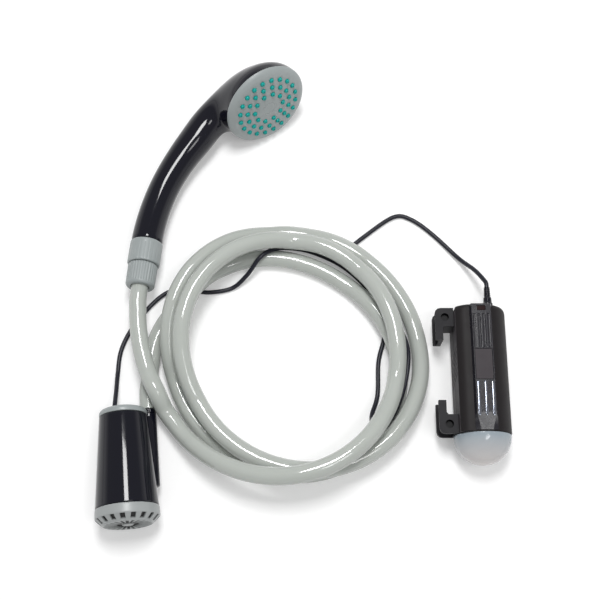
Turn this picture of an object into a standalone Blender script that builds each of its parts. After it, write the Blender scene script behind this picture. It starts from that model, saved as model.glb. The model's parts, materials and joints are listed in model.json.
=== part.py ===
"""Portable battery shower: handset, hose coil, bucket pump, cable and battery pack with a lamp.

All sizes are in metres, +Z up. Each unit has an empty as its own frame: local Z runs along the
unit's axis towards the near side of the layout, local Y is up and local X is to the right.
The origin is on the ground, under the middle of the three rigid units.
"""

import math

import bmesh
import bpy
import numpy as np
from mathutils import Matrix, Vector

# Layout: where each unit's frame stands, its turn in plan, its tilt and its roll
LAYOUT_SHIFT = Vector((-0.0033, -0.0036, 0.0))
HANDSET_PLACE = Vector((-0.1315, 0.0039, 0.0220))
HANDSET_TURN = math.radians(-4.9)
HANDSET_TILT = math.radians(-5.3)
HANDSET_ROLL = math.radians(19.1)
PUMP_PLACE = Vector((-0.1318, -0.1748, 0.0245))
PUMP_TURN = math.radians(6.2)
PACK_PLACE = Vector((0.1426, -0.1197, 0.0230))

# General clearances, walls, softened edges, and how far cutters and joined pieces reach past faces
MILLIMETRE = 0.001
GAP = 0.0003
SLIDING_GAP = 0.0005
SHELL_WALL = 0.0022
EDGE = 0.0003
CUT_MARGIN = 0.002

# Hose and cable
HOSE_RADIUS = 0.0070
HOSE_BORE_RADIUS = 0.0045
HOSE_POINT_STEP = 0.0205
RUN_STEPS = 6
ROUTE_STEPS = 8
CABLE_RADIUS = 0.00185
CABLE_POINT_STEP = 0.0112

# Hose nut and collar
NUT_LENGTH = 0.0192
NUT_RADIUS = 0.01225
NUT_LIP_RADIUS = 0.0109
NUT_MOUTH_RADIUS = 0.0084
NUT_SHOULDER = 0.0080
THREAD_RADIUS = 0.0099
FLANGE_THICKNESS = 0.0020
NUT_CHAMFER = 0.0012
WASHER_THICKNESS = 0.0020
TAIL_SLEEVE = 0.0030
TAIL_BORE_RADIUS = 0.0035
TAIL_CLEARANCE = 0.0008
COLLAR_LENGTH = 0.0200
COLLAR_RADIUS = 0.0135
WATERWAY_RADIUS = 0.0062
FLUTES = 22
FLUTE_DEPTH = 0.00035
COLLAR_CHAMFER = 0.0010
NECK_OVERLAP = 0.0170
NECK_STEP = 0.0008

# Handle and head
HANDLE_RADIUS = 0.0130
HANDLE_WAIST = 0.0004
HANDLE_FLARE = 0.0016
HANDLE_BORE_INSET = 0.0034
HANDLE_SIDES = 28
HANDLE_STEP = 0.0095
HEAD_RADIUS = 0.0375
HEAD_REACH = 0.0929
HEAD_RISE = 0.1665
HEAD_TURN = math.radians(39.3)
HEAD_SIDES = 40
RIM_DEPTH = 0.0010
FACE_BACK_DROP = 0.0007
FACE_HEIGHT = 0.0066
FACE_CROWN = 0.0022
FACE_WALL = 0.0042
CROWN_RINGS = (0.45, 0.65, 0.80)
RIM_PROFILE = ((0.89, 0.54), (0.95, 0.36), (0.99, 0.14))
RIM_SEAT = 0.0062
NOZZLE_ROWS = ((10, 0.0138, 14.5), (15, 0.0206, 8.5), (20, 0.0274, 5.5))
NOZZLE_RADIUS = 0.0018
NOZZLE_STANDOUT = 0.0016
NOZZLE_TIP_SHARE = 0.8
NOZZLE_SIDES = 6
MAT_THICKNESS = 0.0019
CAP_RADIUS = 0.0056
CAP_RECESS = 0.0027
CAP_PROUD = 0.0002
POST_RADIUS = 0.0050
POST_LENGTH = 0.0325
SCREW_RADIUS = 0.0014
SCREW_HEAD_RADIUS = 0.0033
SCREW_HEAD_HEIGHT = 0.0011
SCREW_HOLE_LENGTH = 0.0120
SCREW_LENGTH = 0.0110

# Pump
PUMP_LENGTH = 0.0720
PUMP_FOOT_RADIUS = 0.0243
PUMP_TOP_RADIUS = 0.0189
PUMP_SIDES = 36
CAP_THICKNESS = 0.0050
CAP_BEVEL = 0.0024
CAP_SKIRT = 0.0040
CAP_BOSS_RADIUS = 0.0050
CAP_BOSS_HEIGHT = 0.0010
OUTLET_RADIUS = 0.0058
OUTLET_BORE = 0.0034
OUTLET_STANDOFF = 0.00234
OUTLET_ANGLE = math.radians(-26.57)
OUTLET_RISE = 0.0025
OUTLET_FLOOR = 0.0016
SPIGOT_LENGTH = 0.0032
GLAND_SIDE = 0.0065
GLAND_RADIUS = 0.0024
GLAND_LENGTH = 0.0080
MOTOR_RADIUS = 0.0120
MOTOR_LENGTH = 0.0380
MOTOR_START = 0.0200
RIB_THICKNESS = 0.0020
RIB_END_GAP = 0.0020
MOTOR_RIBS = 4
BULKHEAD_START = 0.0140
BULKHEAD_THICKNESS = 0.0020
SHAFT_RADIUS = 0.00115
IMPELLER_START = 0.0078
IMPELLER_DEPTH = 0.0045
IMPELLER_RADIUS = 0.0150
IMPELLER_HUB = 0.0032
IMPELLER_VANES = 6
IMPELLER_DISC = 0.0012
VANE_THICKNESS = 0.0012
VANE_STEP = 0.0010
INLET_START = 0.0048
INLET_THICKNESS = 0.0016
INLET_HOLE = 0.0065
STRAINER_RING = 0.0075
STRAINER_DEPTH = 0.0130
STRAINER_RADIUS = 0.0248
STRAINER_FOOT_RADIUS = 0.0192
STRAINER_WALL = 0.0020
STRAINER_SPIGOT = 0.0038
STRAINER_SLOTS = 18
SLOT_WIDTH = 0.0034
SLOT_SHARE = 0.62
FOOT_SLOTS = 8
FOOT_SLOT_WIDTH = 0.0018
FOOT_SLOT_SHARE = 0.42

# Battery pack
CASE_RADIUS = 0.0228
CASE_LEFT = 0.0194
CASE_TOP_FLAT = 0.0212
CASE_SQUARENESS = 0.70
CASE_START = 0.0006
CASE_LENGTH = 0.1016
CASE_WALL = 0.0020
CASE_END_WALL = 0.0025
CASE_SHOULDER = 0.0045
CASE_SHOULDER_INSET = 0.0027
LAMP_RADIUS = 0.0225
LAMP_BASE = 0.0003
LAMP_WALL = 0.0018
LAMP_BOARD_THICKNESS = 0.0016
LED_RADIUS = 0.0080
LED_THICKNESS = 0.0012
STRIP_WIDTH = 0.0174
STRIP_TOP_WIDTH = 0.0150
STRIP_HEIGHT = 0.0250
STRIP_FAR_INSET = 0.0008
STRIP_TAPER_START = 0.0148
STRIP_END = 0.0015
STRIP_TIP_SHARE = 0.62
STRIP_TIP_RISE = 0.0014
RIB_COUNT = 3
RIB_LENGTH = 0.0270
RIB_WIDTH = 0.0022
RIB_PITCH = 0.0056
RIB_STANDOUT = 0.0009
RIB_START = 0.0120
PANEL_WIDTH = 0.0130
PANEL_LENGTH = 0.0240
PANEL_START = 0.0405
PANEL_DEPTH = 0.0016
GROOVE_COUNT = 4
GROOVE_WIDTH = 0.0018
GROOVE_DEPTH = 0.0008
GROOVE_TO_PANEL = 0.0015
GROOVE_TO_WINDOW = 0.0032
WINDOW_WIDTH = 0.0064
WINDOW_LENGTH = 0.0032
WINDOW_LEDGE = 0.0008
WINDOW_TO_END = 0.0028
CELL_RADIUS = 0.0091
CELL_LENGTH = 0.0650
CELL_START = 0.0120
CELLS_SIDE = 0.00135
HOLDER_FLOOR = 0.0022
HOLDER_HEIGHT = 0.0060
HOLDER_WIDTH = 0.0300
BOARD_WIDTH = 0.0260
BOARD_LENGTH = 0.0600
BOARD_THICKNESS = 0.0016
JACK_SIDE = 0.0099
JACK_RISE = 0.0018
JACK_RADIUS = 0.0045
JACK_LENGTH = 0.0135
PLUG_BARREL_RADIUS = 0.0026
PLUG_BARREL_LENGTH = 0.0095
PLUG_BODY_RADIUS = 0.0040
PLUG_BODY_LENGTH = 0.0110
PLUG_WAIST_SHARE = 0.8
PLUG_RELIEF_LENGTH = 0.0085
RELIEF_WALL = 0.00065
SOCKET_END_GAP = 0.0015
BUTTON_SIDE = 0.0080
BUTTON_RADIUS = 0.0048
BUTTON_STANDOUT = 0.0014
BUTTON_FLANGE = 0.0012
BUTTON_FLANGE_THICKNESS = 0.0010

# Hooks on the pack's left wall, each of two plates with a web between them
HOOK_REACH = 0.0149
HOOK_FINGER = 0.0061
HOOK_ARM = 0.0152
HOOK_FINGER_DROP = 0.0112
HOOK_DEPTH = 0.0204
HOOK_PLATE = 0.0026
HOOK_CHANNEL = 0.0028
HOOK_CORNER = 0.0045
HOOK_INNER_CORNER = 0.0015
HOOK_SCREW_SIDE = 0.0080
HOOK_SCREW_RADIUS = 0.0030
HOOK_SCREW_DEPTH = 0.0060
HOOK_SCREW_HEAD = 0.0018

# The hose's loops, from LOOP_START anticlockwise to LOOP_END in degrees about LOOP_CENTRE. Each turn
# begins as one of these rings and ends as the next: mean radius, how far it lies to the right and
# to the back, and how far it is drawn out from left to right and along the diagonal, in millimetres
LOOP_CENTRE = (-0.008, -0.050)
LOOP_START = 210
LOOP_END = 1230
LOOP_STEP = 5
LOOPS = (
    (94, -20.5, -6, -4, -5),
    (96, 12.5, 2, 1, -1),
    (103.5, 1, 4, -3.5, -6),
    (73.5, -12, 1.5, 6.5, -9.5),
)
LOOP_LEAD = 6
PILE_GAP = 0.0022
PILE_PASSES = 6
HUMP_RADIUS = 0.120
STRAND_APART = 0.060

# The rest of the hose's centreline and the cable's, in millimetres before LAYOUT_SHIFT
HANDSET_RUN = (
    (-132.3, -12, 22),
    (-130.8, -31, 22.5),
    (-127, -50, 22.5),
    (-121.5, -67.5, 23),
    (-113, -85, 24.5),
)
PUMP_RUN = (
    (-103, -10.5, 7.6),
    (-113, -25, 7.2),
    (-119.5, -42, 7.1),
    (-121.5, -59, 7.2),
    (-122.2, -77, 8.7),
)
CABLE_ROUTE = (
    (-148, -79, 10),
    (-149, -64, 2.5),
    (-147, -43, 2),
    (-136.5, -21, 2),
    (-117, 2, 2),
    (-100.5, 8.5, 2),
    (-77, 6, 2),
    (-57.5, 9.5, 2),
    (-44.5, 19, 8.4),
    (-33, 32, 17.4),
    (-21.5, 40.5, 13.5),
    (-6.5, 44.5, 4.8),
    (11.5, 41.5, 2),
    (35.5, 29.5, 2),
    (55, 11, 2),
    (68, -12, 2),
    (70, -31, 2),
    (64.5, -54, 2),
    (63, -82, 2),
    (57.5, -100.5, 7),
    (59, -112.5, 16),
    (65.5, -111.5, 16.6),
    (75.6, -98.7, 15.8),
    (84.5, -74.5, 16),
    (87.8, -49, 14.4),
    (84.2, -28, 4),
    (78.5, -8, 2),
    (61.5, 17, 2),
    (41.5, 34.5, 2),
    (41, 43.5, 2),
    (59, 59.5, 2),
    (81, 74.5, 2),
    (95.5, 72, 2),
    (113.5, 58, 2),
    (134, 35.5, 5),
    (145.5, 20, 17),
)
# The handle's centreline: sideways and along the nut's axis in millimetres
HANDLE_ROUTE = ((0, 40), (0.2, 52.5), (2, 67.5), (5.3, 83), (10, 98), (16.7, 113), (25, 128), (34, 141))
# The head's sections from the handle to the rim, in millimetres in the head's frame: the back point
# and the front point (across, depth), and half the section's width
HEAD_SECTIONS = (
    ((-54.2, 36.6), (-48.2, 7.8), 14.7),
    ((-41.5, 38.4), (-44.2, 8.6), 15.2),
    ((-28.5, 39), (-41.8, 8.8), 17.4),
    ((-14.5, 37.8), (-40, 8.4), 21.4),
    ((-0.5, 34.8), (-38.9, 7.4), 25.8),
    ((12.5, 30), (-38.2, 6.2), 29.6),
    ((24, 23.6), (-37.7, 4.8), 32.8),
    ((31.6, 16.8), (-37.4, 3.6), 35.2),
    ((36, 9.4), (-37.2, 2.4), 36.6),
    ((37.2, 1), (-37.2, 1), 37.2),
)
FLOW_SIDES = 16


def look(name, colour, roughness, metallic=0.0):
    """A Principled material of one colour."""
    material = bpy.data.materials.new(name)
    material.use_nodes = True
    shader = material.node_tree.nodes["Principled BSDF"]
    shader.inputs["Base Color"].default_value = (*colour, 1.0)
    shader.inputs["Roughness"].default_value = roughness
    shader.inputs["Metallic"].default_value = metallic
    return material


def frame_empty(name, matrix, parent=None):
    """An empty that holds one unit's frame."""
    empty = bpy.data.objects.new(name, None)
    bpy.context.collection.objects.link(empty)
    empty.empty_display_size = 0.02
    empty.parent = parent
    empty.matrix_local = matrix
    bpy.context.view_layer.update()
    return empty


def mesh_object(name, mesh_builder, material, frame=None, place=(0.0, 0.0, 0.0), turn=None):
    """Makes an object of a bmesh, with its faces outwards, in its unit's frame."""
    bmesh.ops.recalc_face_normals(mesh_builder, faces=mesh_builder.faces)
    mesh = bpy.data.meshes.new(name)
    mesh_builder.to_mesh(mesh)
    mesh_builder.free()
    mesh.materials.append(material)
    obj = bpy.data.objects.new(name, mesh)
    bpy.context.collection.objects.link(obj)
    obj.parent = frame
    obj.location = place
    if turn is not None:
        obj.rotation_euler = turn
    mesh.shade_smooth()
    mesh.set_sharp_from_angle(angle=math.radians(35))
    bpy.context.view_layer.update()
    return obj


def turned(name, outline, sides, material, frame=None, place=(0.0, 0.0, 0.0), turn=None):
    """A solid turned about local Z from a closed outline of (radius, height) points."""
    builder = bmesh.new()
    points = [builder.verts.new((radius, 0.0, height)) for radius, height in outline]
    edges = [builder.edges.new(pair) for pair in zip(points, points[1:] + points[:1])
             if pair[0].co.x > 0 or pair[1].co.x > 0]
    bmesh.ops.spin(builder, geom=points + edges, axis=(0, 0, 1), cent=(0, 0, 0),
                   steps=sides, angle=math.tau, use_merge=True)
    bmesh.ops.remove_doubles(builder, verts=builder.verts, dist=1e-6)
    return mesh_object(name, builder, material, frame, place, turn)


def fluted(name, outline, flutes, material, frame):
    """A ring turned about local Z whose outline points are (radius, height, flute depth)."""
    builder = bmesh.new()
    count = 2 * flutes
    rings = []
    for radius, height, depth in outline:
        ring = []
        for step in range(count):
            reach = radius - depth * (step % 2)
            angle = math.tau * step / count
            ring.append(builder.verts.new((reach * math.cos(angle), reach * math.sin(angle), height)))
        rings.append(ring)
    for ring, following in zip(rings, rings[1:] + rings[:1]):
        for step in range(count):
            ahead = (step + 1) % count
            builder.faces.new((ring[step], ring[ahead], following[ahead], following[step]))
    return mesh_object(name, builder, material, frame)


def lofted(name, rings, material, frame=None):
    """A closed skin over rings of points, with a flat face on each end."""
    builder = bmesh.new()
    loops = [[builder.verts.new(point) for point in ring] for ring in rings]
    for loop, following in zip(loops, loops[1:]):
        for step in range(len(loop)):
            ahead = (step + 1) % len(loop)
            builder.faces.new((loop[step], loop[ahead], following[ahead], following[step]))
    builder.faces.new(loops[0])
    builder.faces.new(loops[-1])
    return mesh_object(name, builder, material, frame)


def extruded(name, outline, low, high, material, frame=None, place=(0.0, 0.0, 0.0), turn=None):
    """A plate of an outline in local X and Y, from one height to another along local Z."""
    builder = bmesh.new()
    bottom = builder.faces.new([builder.verts.new((x, y, low)) for x, y in outline])
    raised = bmesh.ops.extrude_face_region(builder, geom=[bottom])
    corners = [item for item in raised["geom"] if isinstance(item, bmesh.types.BMVert)]
    bmesh.ops.translate(builder, verts=corners, vec=(0, 0, high - low))
    return mesh_object(name, builder, material, frame, place, turn)


def block(name, size, centre, material, frame=None, turn=None):
    """A box of a size about its centre."""
    builder = bmesh.new()
    bmesh.ops.create_cube(builder, size=1.0)
    bmesh.ops.scale(builder, vec=size, verts=builder.verts)
    return mesh_object(name, builder, material, frame, centre, turn)


def rod(name, radius, low, high, sides, material, frame=None, place=(0.0, 0.0, 0.0), turn=None):
    """A round bar along local Z."""
    outline = ((0.0, low), (radius, low), (radius, high), (0.0, high))
    return turned(name, outline, sides, material, frame, place, turn)


def combine(target, helper, operation):
    """Applies an exact Boolean of the helper to the target and removes the helper."""
    helper.hide_render = True
    helper.display_type = "WIRE"
    modifier = target.modifiers.new("shape", "BOOLEAN")
    modifier.operation = operation
    modifier.object = helper
    bpy.context.view_layer.update()
    graph = bpy.context.evaluated_depsgraph_get()
    shaped = bpy.data.meshes.new_from_object(target.evaluated_get(graph))
    target.modifiers.clear()
    target.data = shaped
    bpy.data.objects.remove(helper)
    shaped.shade_smooth()
    shaped.set_sharp_from_angle(angle=math.radians(35))


def cut(target, helper):
    combine(target, helper, "DIFFERENCE")


def join(target, helper):
    combine(target, helper, "UNION")


def rounded_rectangle(half_width, half_length, corner, steps=4):
    """Outline points of a rectangle with round corners, centred on the origin."""
    points = []
    for quarter, (side, end) in enumerate(((1, 1), (-1, 1), (-1, -1), (1, -1))):
        for step in range(steps + 1):
            angle = math.pi / 2 * (quarter + step / steps)
            points.append((side * (half_width - corner) + corner * math.cos(angle),
                           end * (half_length - corner) + corner * math.sin(angle)))
    return points


def smooth_route(points, steps):
    """Points on a Catmull-Rom curve through the given ones, steps to each stretch."""
    ends = [2 * points[0] - points[1], *points, 2 * points[-1] - points[-2]]
    route = []
    for before, start, end, after in zip(ends, ends[1:], ends[2:], ends[3:]):
        for step in range(steps):
            share = step / steps
            route.append(0.5 * (2 * start + (end - before) * share
                                + (2 * before - 5 * start + 4 * end - after) * share ** 2
                                + (3 * start - before - 3 * end + after) * share ** 3))
    route.append(points[-1].copy())
    return route


def even_points(route, spacing):
    """The route's points at even distances, close to the spacing, with both ends kept."""
    reach = [0.0]
    for start, end in zip(route, route[1:]):
        reach.append(reach[-1] + (end - start).length)
    count = max(2, round(reach[-1] / spacing))
    points = []
    piece = 0
    for step in range(count + 1):
        goal = reach[-1] * step / count
        while piece < len(route) - 2 and reach[piece + 1] < goal:
            piece += 1
        share = (goal - reach[piece]) / (reach[piece + 1] - reach[piece])
        points.append(route[piece].lerp(route[piece + 1], share))
    return points


def cord_tube(name, points, radius, resolution, material):
    """A round cord along the points, with filled ends."""
    curve = bpy.data.curves.new(name, "CURVE")
    curve.dimensions = "3D"
    curve.bevel_depth = radius
    curve.bevel_resolution = resolution
    curve.use_fill_caps = True
    spline = curve.splines.new("POLY")
    spline.points.add(len(points) - 1)
    for target, point in zip(spline.points, points):
        target.co = (*point, 1.0)
    spline.use_smooth = True
    curve.materials.append(material)
    obj = bpy.data.objects.new(name, curve)
    bpy.context.collection.objects.link(obj)
    return obj


def layout_points(listed):
    """Route points given in millimetres, in metres and at the layout's place."""
    return [Vector(point) * MILLIMETRE + LAYOUT_SHIFT for point in listed]


def axis_point(frame, along, side=0.0, up=0.0):
    """The world position of a point of a frame."""
    return frame.matrix_world @ Vector((side, up, along))


def least_gap(points, radius, apart):
    """The least distance between the tube's skins where the route is further on than apart."""
    fine = even_points(points, radius)
    step = (fine[1] - fine[0]).length
    skip = int(apart / step)
    pairs = ((one, other) for index, one in enumerate(fine) for other in fine[index + skip:])
    return min((one - other).length for one, other in pairs) - 2 * radius


def loop_plan():
    """The loops from above: at each angle, the ring between the one before and the one after."""
    angle = np.radians(np.arange(LOOP_START, LOOP_END + LOOP_STEP, LOOP_STEP))
    turn = (angle - angle[0]) / math.tau
    waves = (np.ones_like(angle), np.cos(angle), np.sin(angle), np.cos(2 * angle), np.sin(2 * angle))
    radius = np.zeros_like(angle)
    for wave, sizes in zip(waves, zip(*LOOPS)):
        radius += wave * np.interp(turn, range(len(LOOPS)), sizes) * MILLIMETRE
    centre = np.add(LOOP_CENTRE, LAYOUT_SHIFT[:2])
    return centre + np.column_stack((radius * np.cos(angle), radius * np.sin(angle)))


def pile_heights(plan, lying_cable):
    """How high the loops lie: every point rests on the floor, on the cable or on the strands that
    were laid before it, and the hose is stiff, so it rounds each support to HUMP_RADIUS."""
    steps = np.linalg.norm(np.diff(plan, axis=0), axis=1)
    reach = np.concatenate(([0.0], np.cumsum(steps)))
    ahead = reach[None, :] - reach[:, None]
    across = np.linalg.norm(plan[:, None] - plan[None, :], axis=2)
    pitch = 2 * HOSE_RADIUS + PILE_GAP
    lift = np.sqrt(np.maximum(pitch ** 2 - across ** 2, 0.0))
    lift[(across > pitch) | (ahead < STRAND_APART)] = -math.inf
    beside = np.linalg.norm(plan[:, None] - lying_cable[None, :], axis=2).min(axis=1)
    over_cable = HOSE_RADIUS + CABLE_RADIUS + PILE_GAP / 2
    on_cable = CABLE_RADIUS + np.sqrt(np.maximum(over_cable ** 2 - beside ** 2, 0.0))
    floor = np.maximum(HOSE_RADIUS, on_cable)
    heights = floor
    for _ in range(PILE_PASSES):
        support = np.maximum(floor, (heights[None, :] + lift).max(axis=1))
        heights = (support[None, :] - ahead ** 2 / (2 * HUMP_RADIUS)).max(axis=1)
    return heights


def loop_points(cable):
    """The centreline of the hose's loops over the parts of the cable that lie on the floor."""
    plan = loop_plan()
    dense = even_points(cable, CABLE_RADIUS)
    lying = np.array([point[:2] for point in dense if point.z < 2 * CABLE_RADIUS])
    return [Vector((*place, height)) for place, height in zip(plan, pile_heights(plan, lying))]


def open_route(knots):
    """The smooth route between the second point and the last but one, bent by all of them."""
    return smooth_route(knots, ROUTE_STEPS)[ROUTE_STEPS:-ROUTE_STEPS]


def cut_across(points, index):
    """The ends of two pieces of a cord cut in the middle of one of its straight steps."""
    middle = points[index].lerp(points[index + 1], 0.5)
    half_gap = (points[index + 1] - points[index]).normalized() * (GAP / 2)
    return middle - half_gap, middle + half_gap


def build_hose(handset_frame, pump_frame, cable, material):
    """The hose from the handset's nut through its loops to the pump's outlet, in three nodes."""
    straight = 2 * HOSE_RADIUS
    outlet = pump_outlet_end() + GAP
    start = axis_point(handset_frame, -hose_start())
    end = axis_point(pump_frame, -outlet, *outlet_place())
    straight_out = axis_point(handset_frame, straight - hose_start())
    straight_in = axis_point(pump_frame, -outlet - straight, *outlet_place())
    loops = loop_points(cable)
    first_knots = [start, straight_out, *layout_points(HANDSET_RUN), loops[0], loops[LOOP_LEAD]]
    last_knots = [loops[-1 - LOOP_LEAD], loops[-1], *layout_points(PUMP_RUN), straight_in, end]
    route = open_route(first_knots)[:-1] + loops + open_route(last_knots)[1:]
    points = [start, *even_points(route, HOSE_POINT_STEP), end]
    length = sum((after - before).length for before, after in zip(points, points[1:]))
    gap = least_gap(points, HOSE_RADIUS, STRAND_APART)
    print(f"hose: {length:.3f} m, {len(points)} points, least gap to itself {gap * 1000:.2f} mm")
    first_end, coil_start = cut_across(points, RUN_STEPS)
    coil_end, last_start = cut_across(points, len(points) - RUN_STEPS - 2)
    coil = [coil_start, *points[RUN_STEPS + 1:-RUN_STEPS - 1], coil_end]
    cord_tube("hose_handset_run", [*points[:RUN_STEPS + 1], first_end], HOSE_RADIUS, 3, material)
    cord_tube("hose_coil", coil, HOSE_RADIUS, 1, material)
    cord_tube("hose_pump_run", [last_start, *points[-RUN_STEPS - 1:]], HOSE_RADIUS, 3, material)


def cable_points(pump_frame, plug_frame):
    """The cable's centreline from the pump's gland along its route to the plug's strain relief."""
    straight = 2 * CABLE_RADIUS
    start = axis_point(pump_frame, -gland_end() - GAP, -GLAND_SIDE)
    straight_out = axis_point(pump_frame, -gland_end() - GAP - straight, -GLAND_SIDE)
    end = axis_point(plug_frame, -plug_end() - GAP)
    straight_in = axis_point(plug_frame, -plug_end() - GAP - straight)
    route = open_route([start, straight_out, *layout_points(CABLE_ROUTE), straight_in, end])
    for point in route:
        point.z = max(point.z, CABLE_RADIUS + GAP / 2)
    return [start, *even_points(route, CABLE_POINT_STEP), end]


def build_cable(points, material):
    """The cable between the pump's gland and the plug."""
    length = sum((after - before).length for before, after in zip(points, points[1:]))
    print(f"cable: {length:.3f} m, {len(points)} points")
    cord_tube("power_cable", points, CABLE_RADIUS, 2, material)


def flange_start():
    return NUT_SHOULDER + GAP


def washer_start():
    return flange_start() + FLANGE_THICKNESS + GAP


def spigot_start():
    return washer_start() + WASHER_THICKNESS + GAP


def collar_start():
    return NUT_LENGTH + SLIDING_GAP


def hose_start():
    """How far inside the nut's mouth the hose begins."""
    return flange_start() - TAIL_SLEEVE - GAP


def build_nut_and_collar(frame, grey, steel, rubber):
    """The fluted hose nut, the hose tail and washer inside it, and the collar with its spigot."""
    bore = THREAD_RADIUS + SLIDING_GAP
    nut = (
        (NUT_MOUTH_RADIUS, 0.0, 0.0),
        (NUT_LIP_RADIUS, 0.0, 0.0),
        (NUT_RADIUS - 2 * EDGE, -NUT_CHAMFER, 0.0),
        (NUT_RADIUS - EDGE, -2 * NUT_CHAMFER, FLUTE_DEPTH),
        (NUT_RADIUS, -NUT_LENGTH + NUT_CHAMFER, FLUTE_DEPTH),
        (NUT_RADIUS - EDGE, -NUT_LENGTH, 0.0),
        (bore, -NUT_LENGTH, 0.0),
        (bore, -NUT_SHOULDER, 0.0),
        (NUT_MOUTH_RADIUS, -NUT_SHOULDER, 0.0),
    )
    fluted("hose_nut", nut, FLUTES, grey, frame)
    flange = flange_start()
    sleeve_radius = NUT_MOUTH_RADIUS - TAIL_CLEARANCE
    tail = (
        (TAIL_BORE_RADIUS, -flange + TAIL_SLEEVE),
        (sleeve_radius, -flange + TAIL_SLEEVE),
        (sleeve_radius, -flange),
        (THREAD_RADIUS, -flange),
        (THREAD_RADIUS, -flange - FLANGE_THICKNESS),
        (TAIL_BORE_RADIUS, -flange - FLANGE_THICKNESS),
    )
    turned("hose_tail", tail, 24, steel, frame)
    washer = washer_start()
    ring = (
        (HOSE_BORE_RADIUS, -washer),
        (THREAD_RADIUS - GAP, -washer),
        (THREAD_RADIUS - GAP, -washer - WASHER_THICKNESS),
        (HOSE_BORE_RADIUS, -washer - WASHER_THICKNESS),
    )
    turned("hose_washer", ring, 24, rubber, frame)
    start = collar_start()
    neck_bore = neck_radius() + GAP
    neck_floor = start + COLLAR_LENGTH - NECK_OVERLAP - GAP
    collar = (
        (WATERWAY_RADIUS, -spigot_start(), 0.0),
        (THREAD_RADIUS, -spigot_start(), 0.0),
        (THREAD_RADIUS, -start, 0.0),
        (COLLAR_RADIUS - 2 * EDGE, -start, 0.0),
        (COLLAR_RADIUS - EDGE, -start - COLLAR_CHAMFER, FLUTE_DEPTH),
        (COLLAR_RADIUS, -start - COLLAR_LENGTH + COLLAR_CHAMFER, FLUTE_DEPTH),
        (COLLAR_RADIUS, -start - COLLAR_LENGTH, 0.0),
        (neck_bore, -start - COLLAR_LENGTH, 0.0),
        (neck_bore, -neck_floor, 0.0),
        (WATERWAY_RADIUS, -neck_floor, 0.0),
    )
    fluted("handset_collar", collar, FLUTES + 4, grey, frame)


def neck_radius():
    return HANDLE_RADIUS - SHELL_WALL - NECK_STEP


def section(centre, across, width, sides):
    """Points round an oval: one half axis across, the other of a width along local Y."""
    points = []
    for step in range(sides):
        angle = math.tau * step / sides
        points.append(centre + across * math.cos(angle) + Vector((0, width * math.sin(angle), 0)))
    return points


def handset_sections(head_frame, sides, inset, skipped):
    """Sections of the handle and the head, set in from the outside by an inset at each end."""
    knots = [Vector((side, 0, -along)) * MILLIMETRE for side, along in HANDLE_ROUTE]
    route = even_points(smooth_route(knots, ROUTE_STEPS), HANDLE_STEP)
    handle_inset, rim_inset = inset
    rings = []
    for index in range(skipped, len(route)):
        forward = Vector((0, 0, -1))
        if index > 0:
            forward = (route[min(index + 1, len(route) - 1)] - route[index - 1]).normalized()
        share = index / (len(route) - 1)
        radius = HANDLE_RADIUS - HANDLE_WAIST * math.sin(math.pi * share) + HANDLE_FLARE * share ** 4
        radius -= handle_inset
        rings.append(section(route[index], Vector((0, 1, 0)).cross(forward) * radius, radius, sides))
    for index, (back, front, width) in enumerate(HEAD_SECTIONS):
        share = index / (len(HEAD_SECTIONS) - 1)
        inwards = handle_inset + (rim_inset - handle_inset) * share ** 3
        ends = [Vector((across, 0, -depth)) * MILLIMETRE for across, depth in (back, front)]
        ends = [head_frame.matrix_local @ end for end in ends]
        across = (ends[0] - ends[1]) / 2
        across -= across.normalized() * inwards
        rings.append(section((ends[0] + ends[1]) / 2, across, width * MILLIMETRE - inwards, sides))
    return rings


def build_handset_shell(frame, head_frame, black):
    """The curved handle flaring into the head, hollow for the water, with a post for the screw."""
    outer = handset_sections(head_frame, HANDLE_SIDES, (0.0, 0.0), 0)
    shell = lofted("handset_shell", outer, black, frame)
    inner = handset_sections(head_frame, FLOW_SIDES, (HANDLE_BORE_INSET, RIM_SEAT), 1)
    above = head_frame.matrix_local.to_3x3() @ Vector((0, 0, RIM_DEPTH + GAP))
    inner.append([point + above for point in inner[-1]])
    cut(shell, lofted("waterway", inner, black, frame))
    neck_start = collar_start() + COLLAR_LENGTH - NECK_OVERLAP
    handle_start = HANDLE_ROUTE[0][1] * MILLIMETRE
    neck_end = handle_start + CUT_MARGIN
    join(shell, rod("neck", neck_radius(), -neck_end, -neck_start, HANDLE_SIDES, black, frame))
    cut(shell, rod("neck_bore", WATERWAY_RADIUS, -neck_end - HANDLE_STEP, -neck_start + CUT_MARGIN,
                   FLOW_SIDES, black, frame))
    post_top = mat_low() - GAP
    join(shell, rod("post", POST_RADIUS, -POST_LENGTH, post_top, 16, black, head_frame))
    cut(shell, rod("post_hole", SCREW_RADIUS + GAP, post_top - SCREW_HOLE_LENGTH, post_top + GAP, 12, black,
                   head_frame))


def mat_low():
    """The height of the nozzle mat's back."""
    return FACE_HEIGHT - FACE_WALL - GAP - MAT_THICKNESS


def face_height(radius):
    """The height of the slightly crowned face at a distance from the head's axis."""
    return FACE_HEIGHT - FACE_CROWN * (radius / (0.8 * HEAD_RADIUS)) ** 2


def nozzle_rods(name, radius, tip_radius, low, standout, material, frame):
    """Rods at all the nozzle places as one mesh, each to a height over the face there."""
    builder = bmesh.new()
    for count, reach, phase in NOZZLE_ROWS:
        high = face_height(reach) + standout
        for step in range(count):
            angle = math.radians(phase) + math.tau * step / count
            place = (reach * math.cos(angle), reach * math.sin(angle), (low + high) / 2)
            bmesh.ops.create_cone(builder, cap_ends=True, segments=NOZZLE_SIDES, radius1=radius,
                                  radius2=tip_radius, depth=high - low, matrix=Matrix.Translation(place))
    return mesh_object(name, builder, material, frame)


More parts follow.
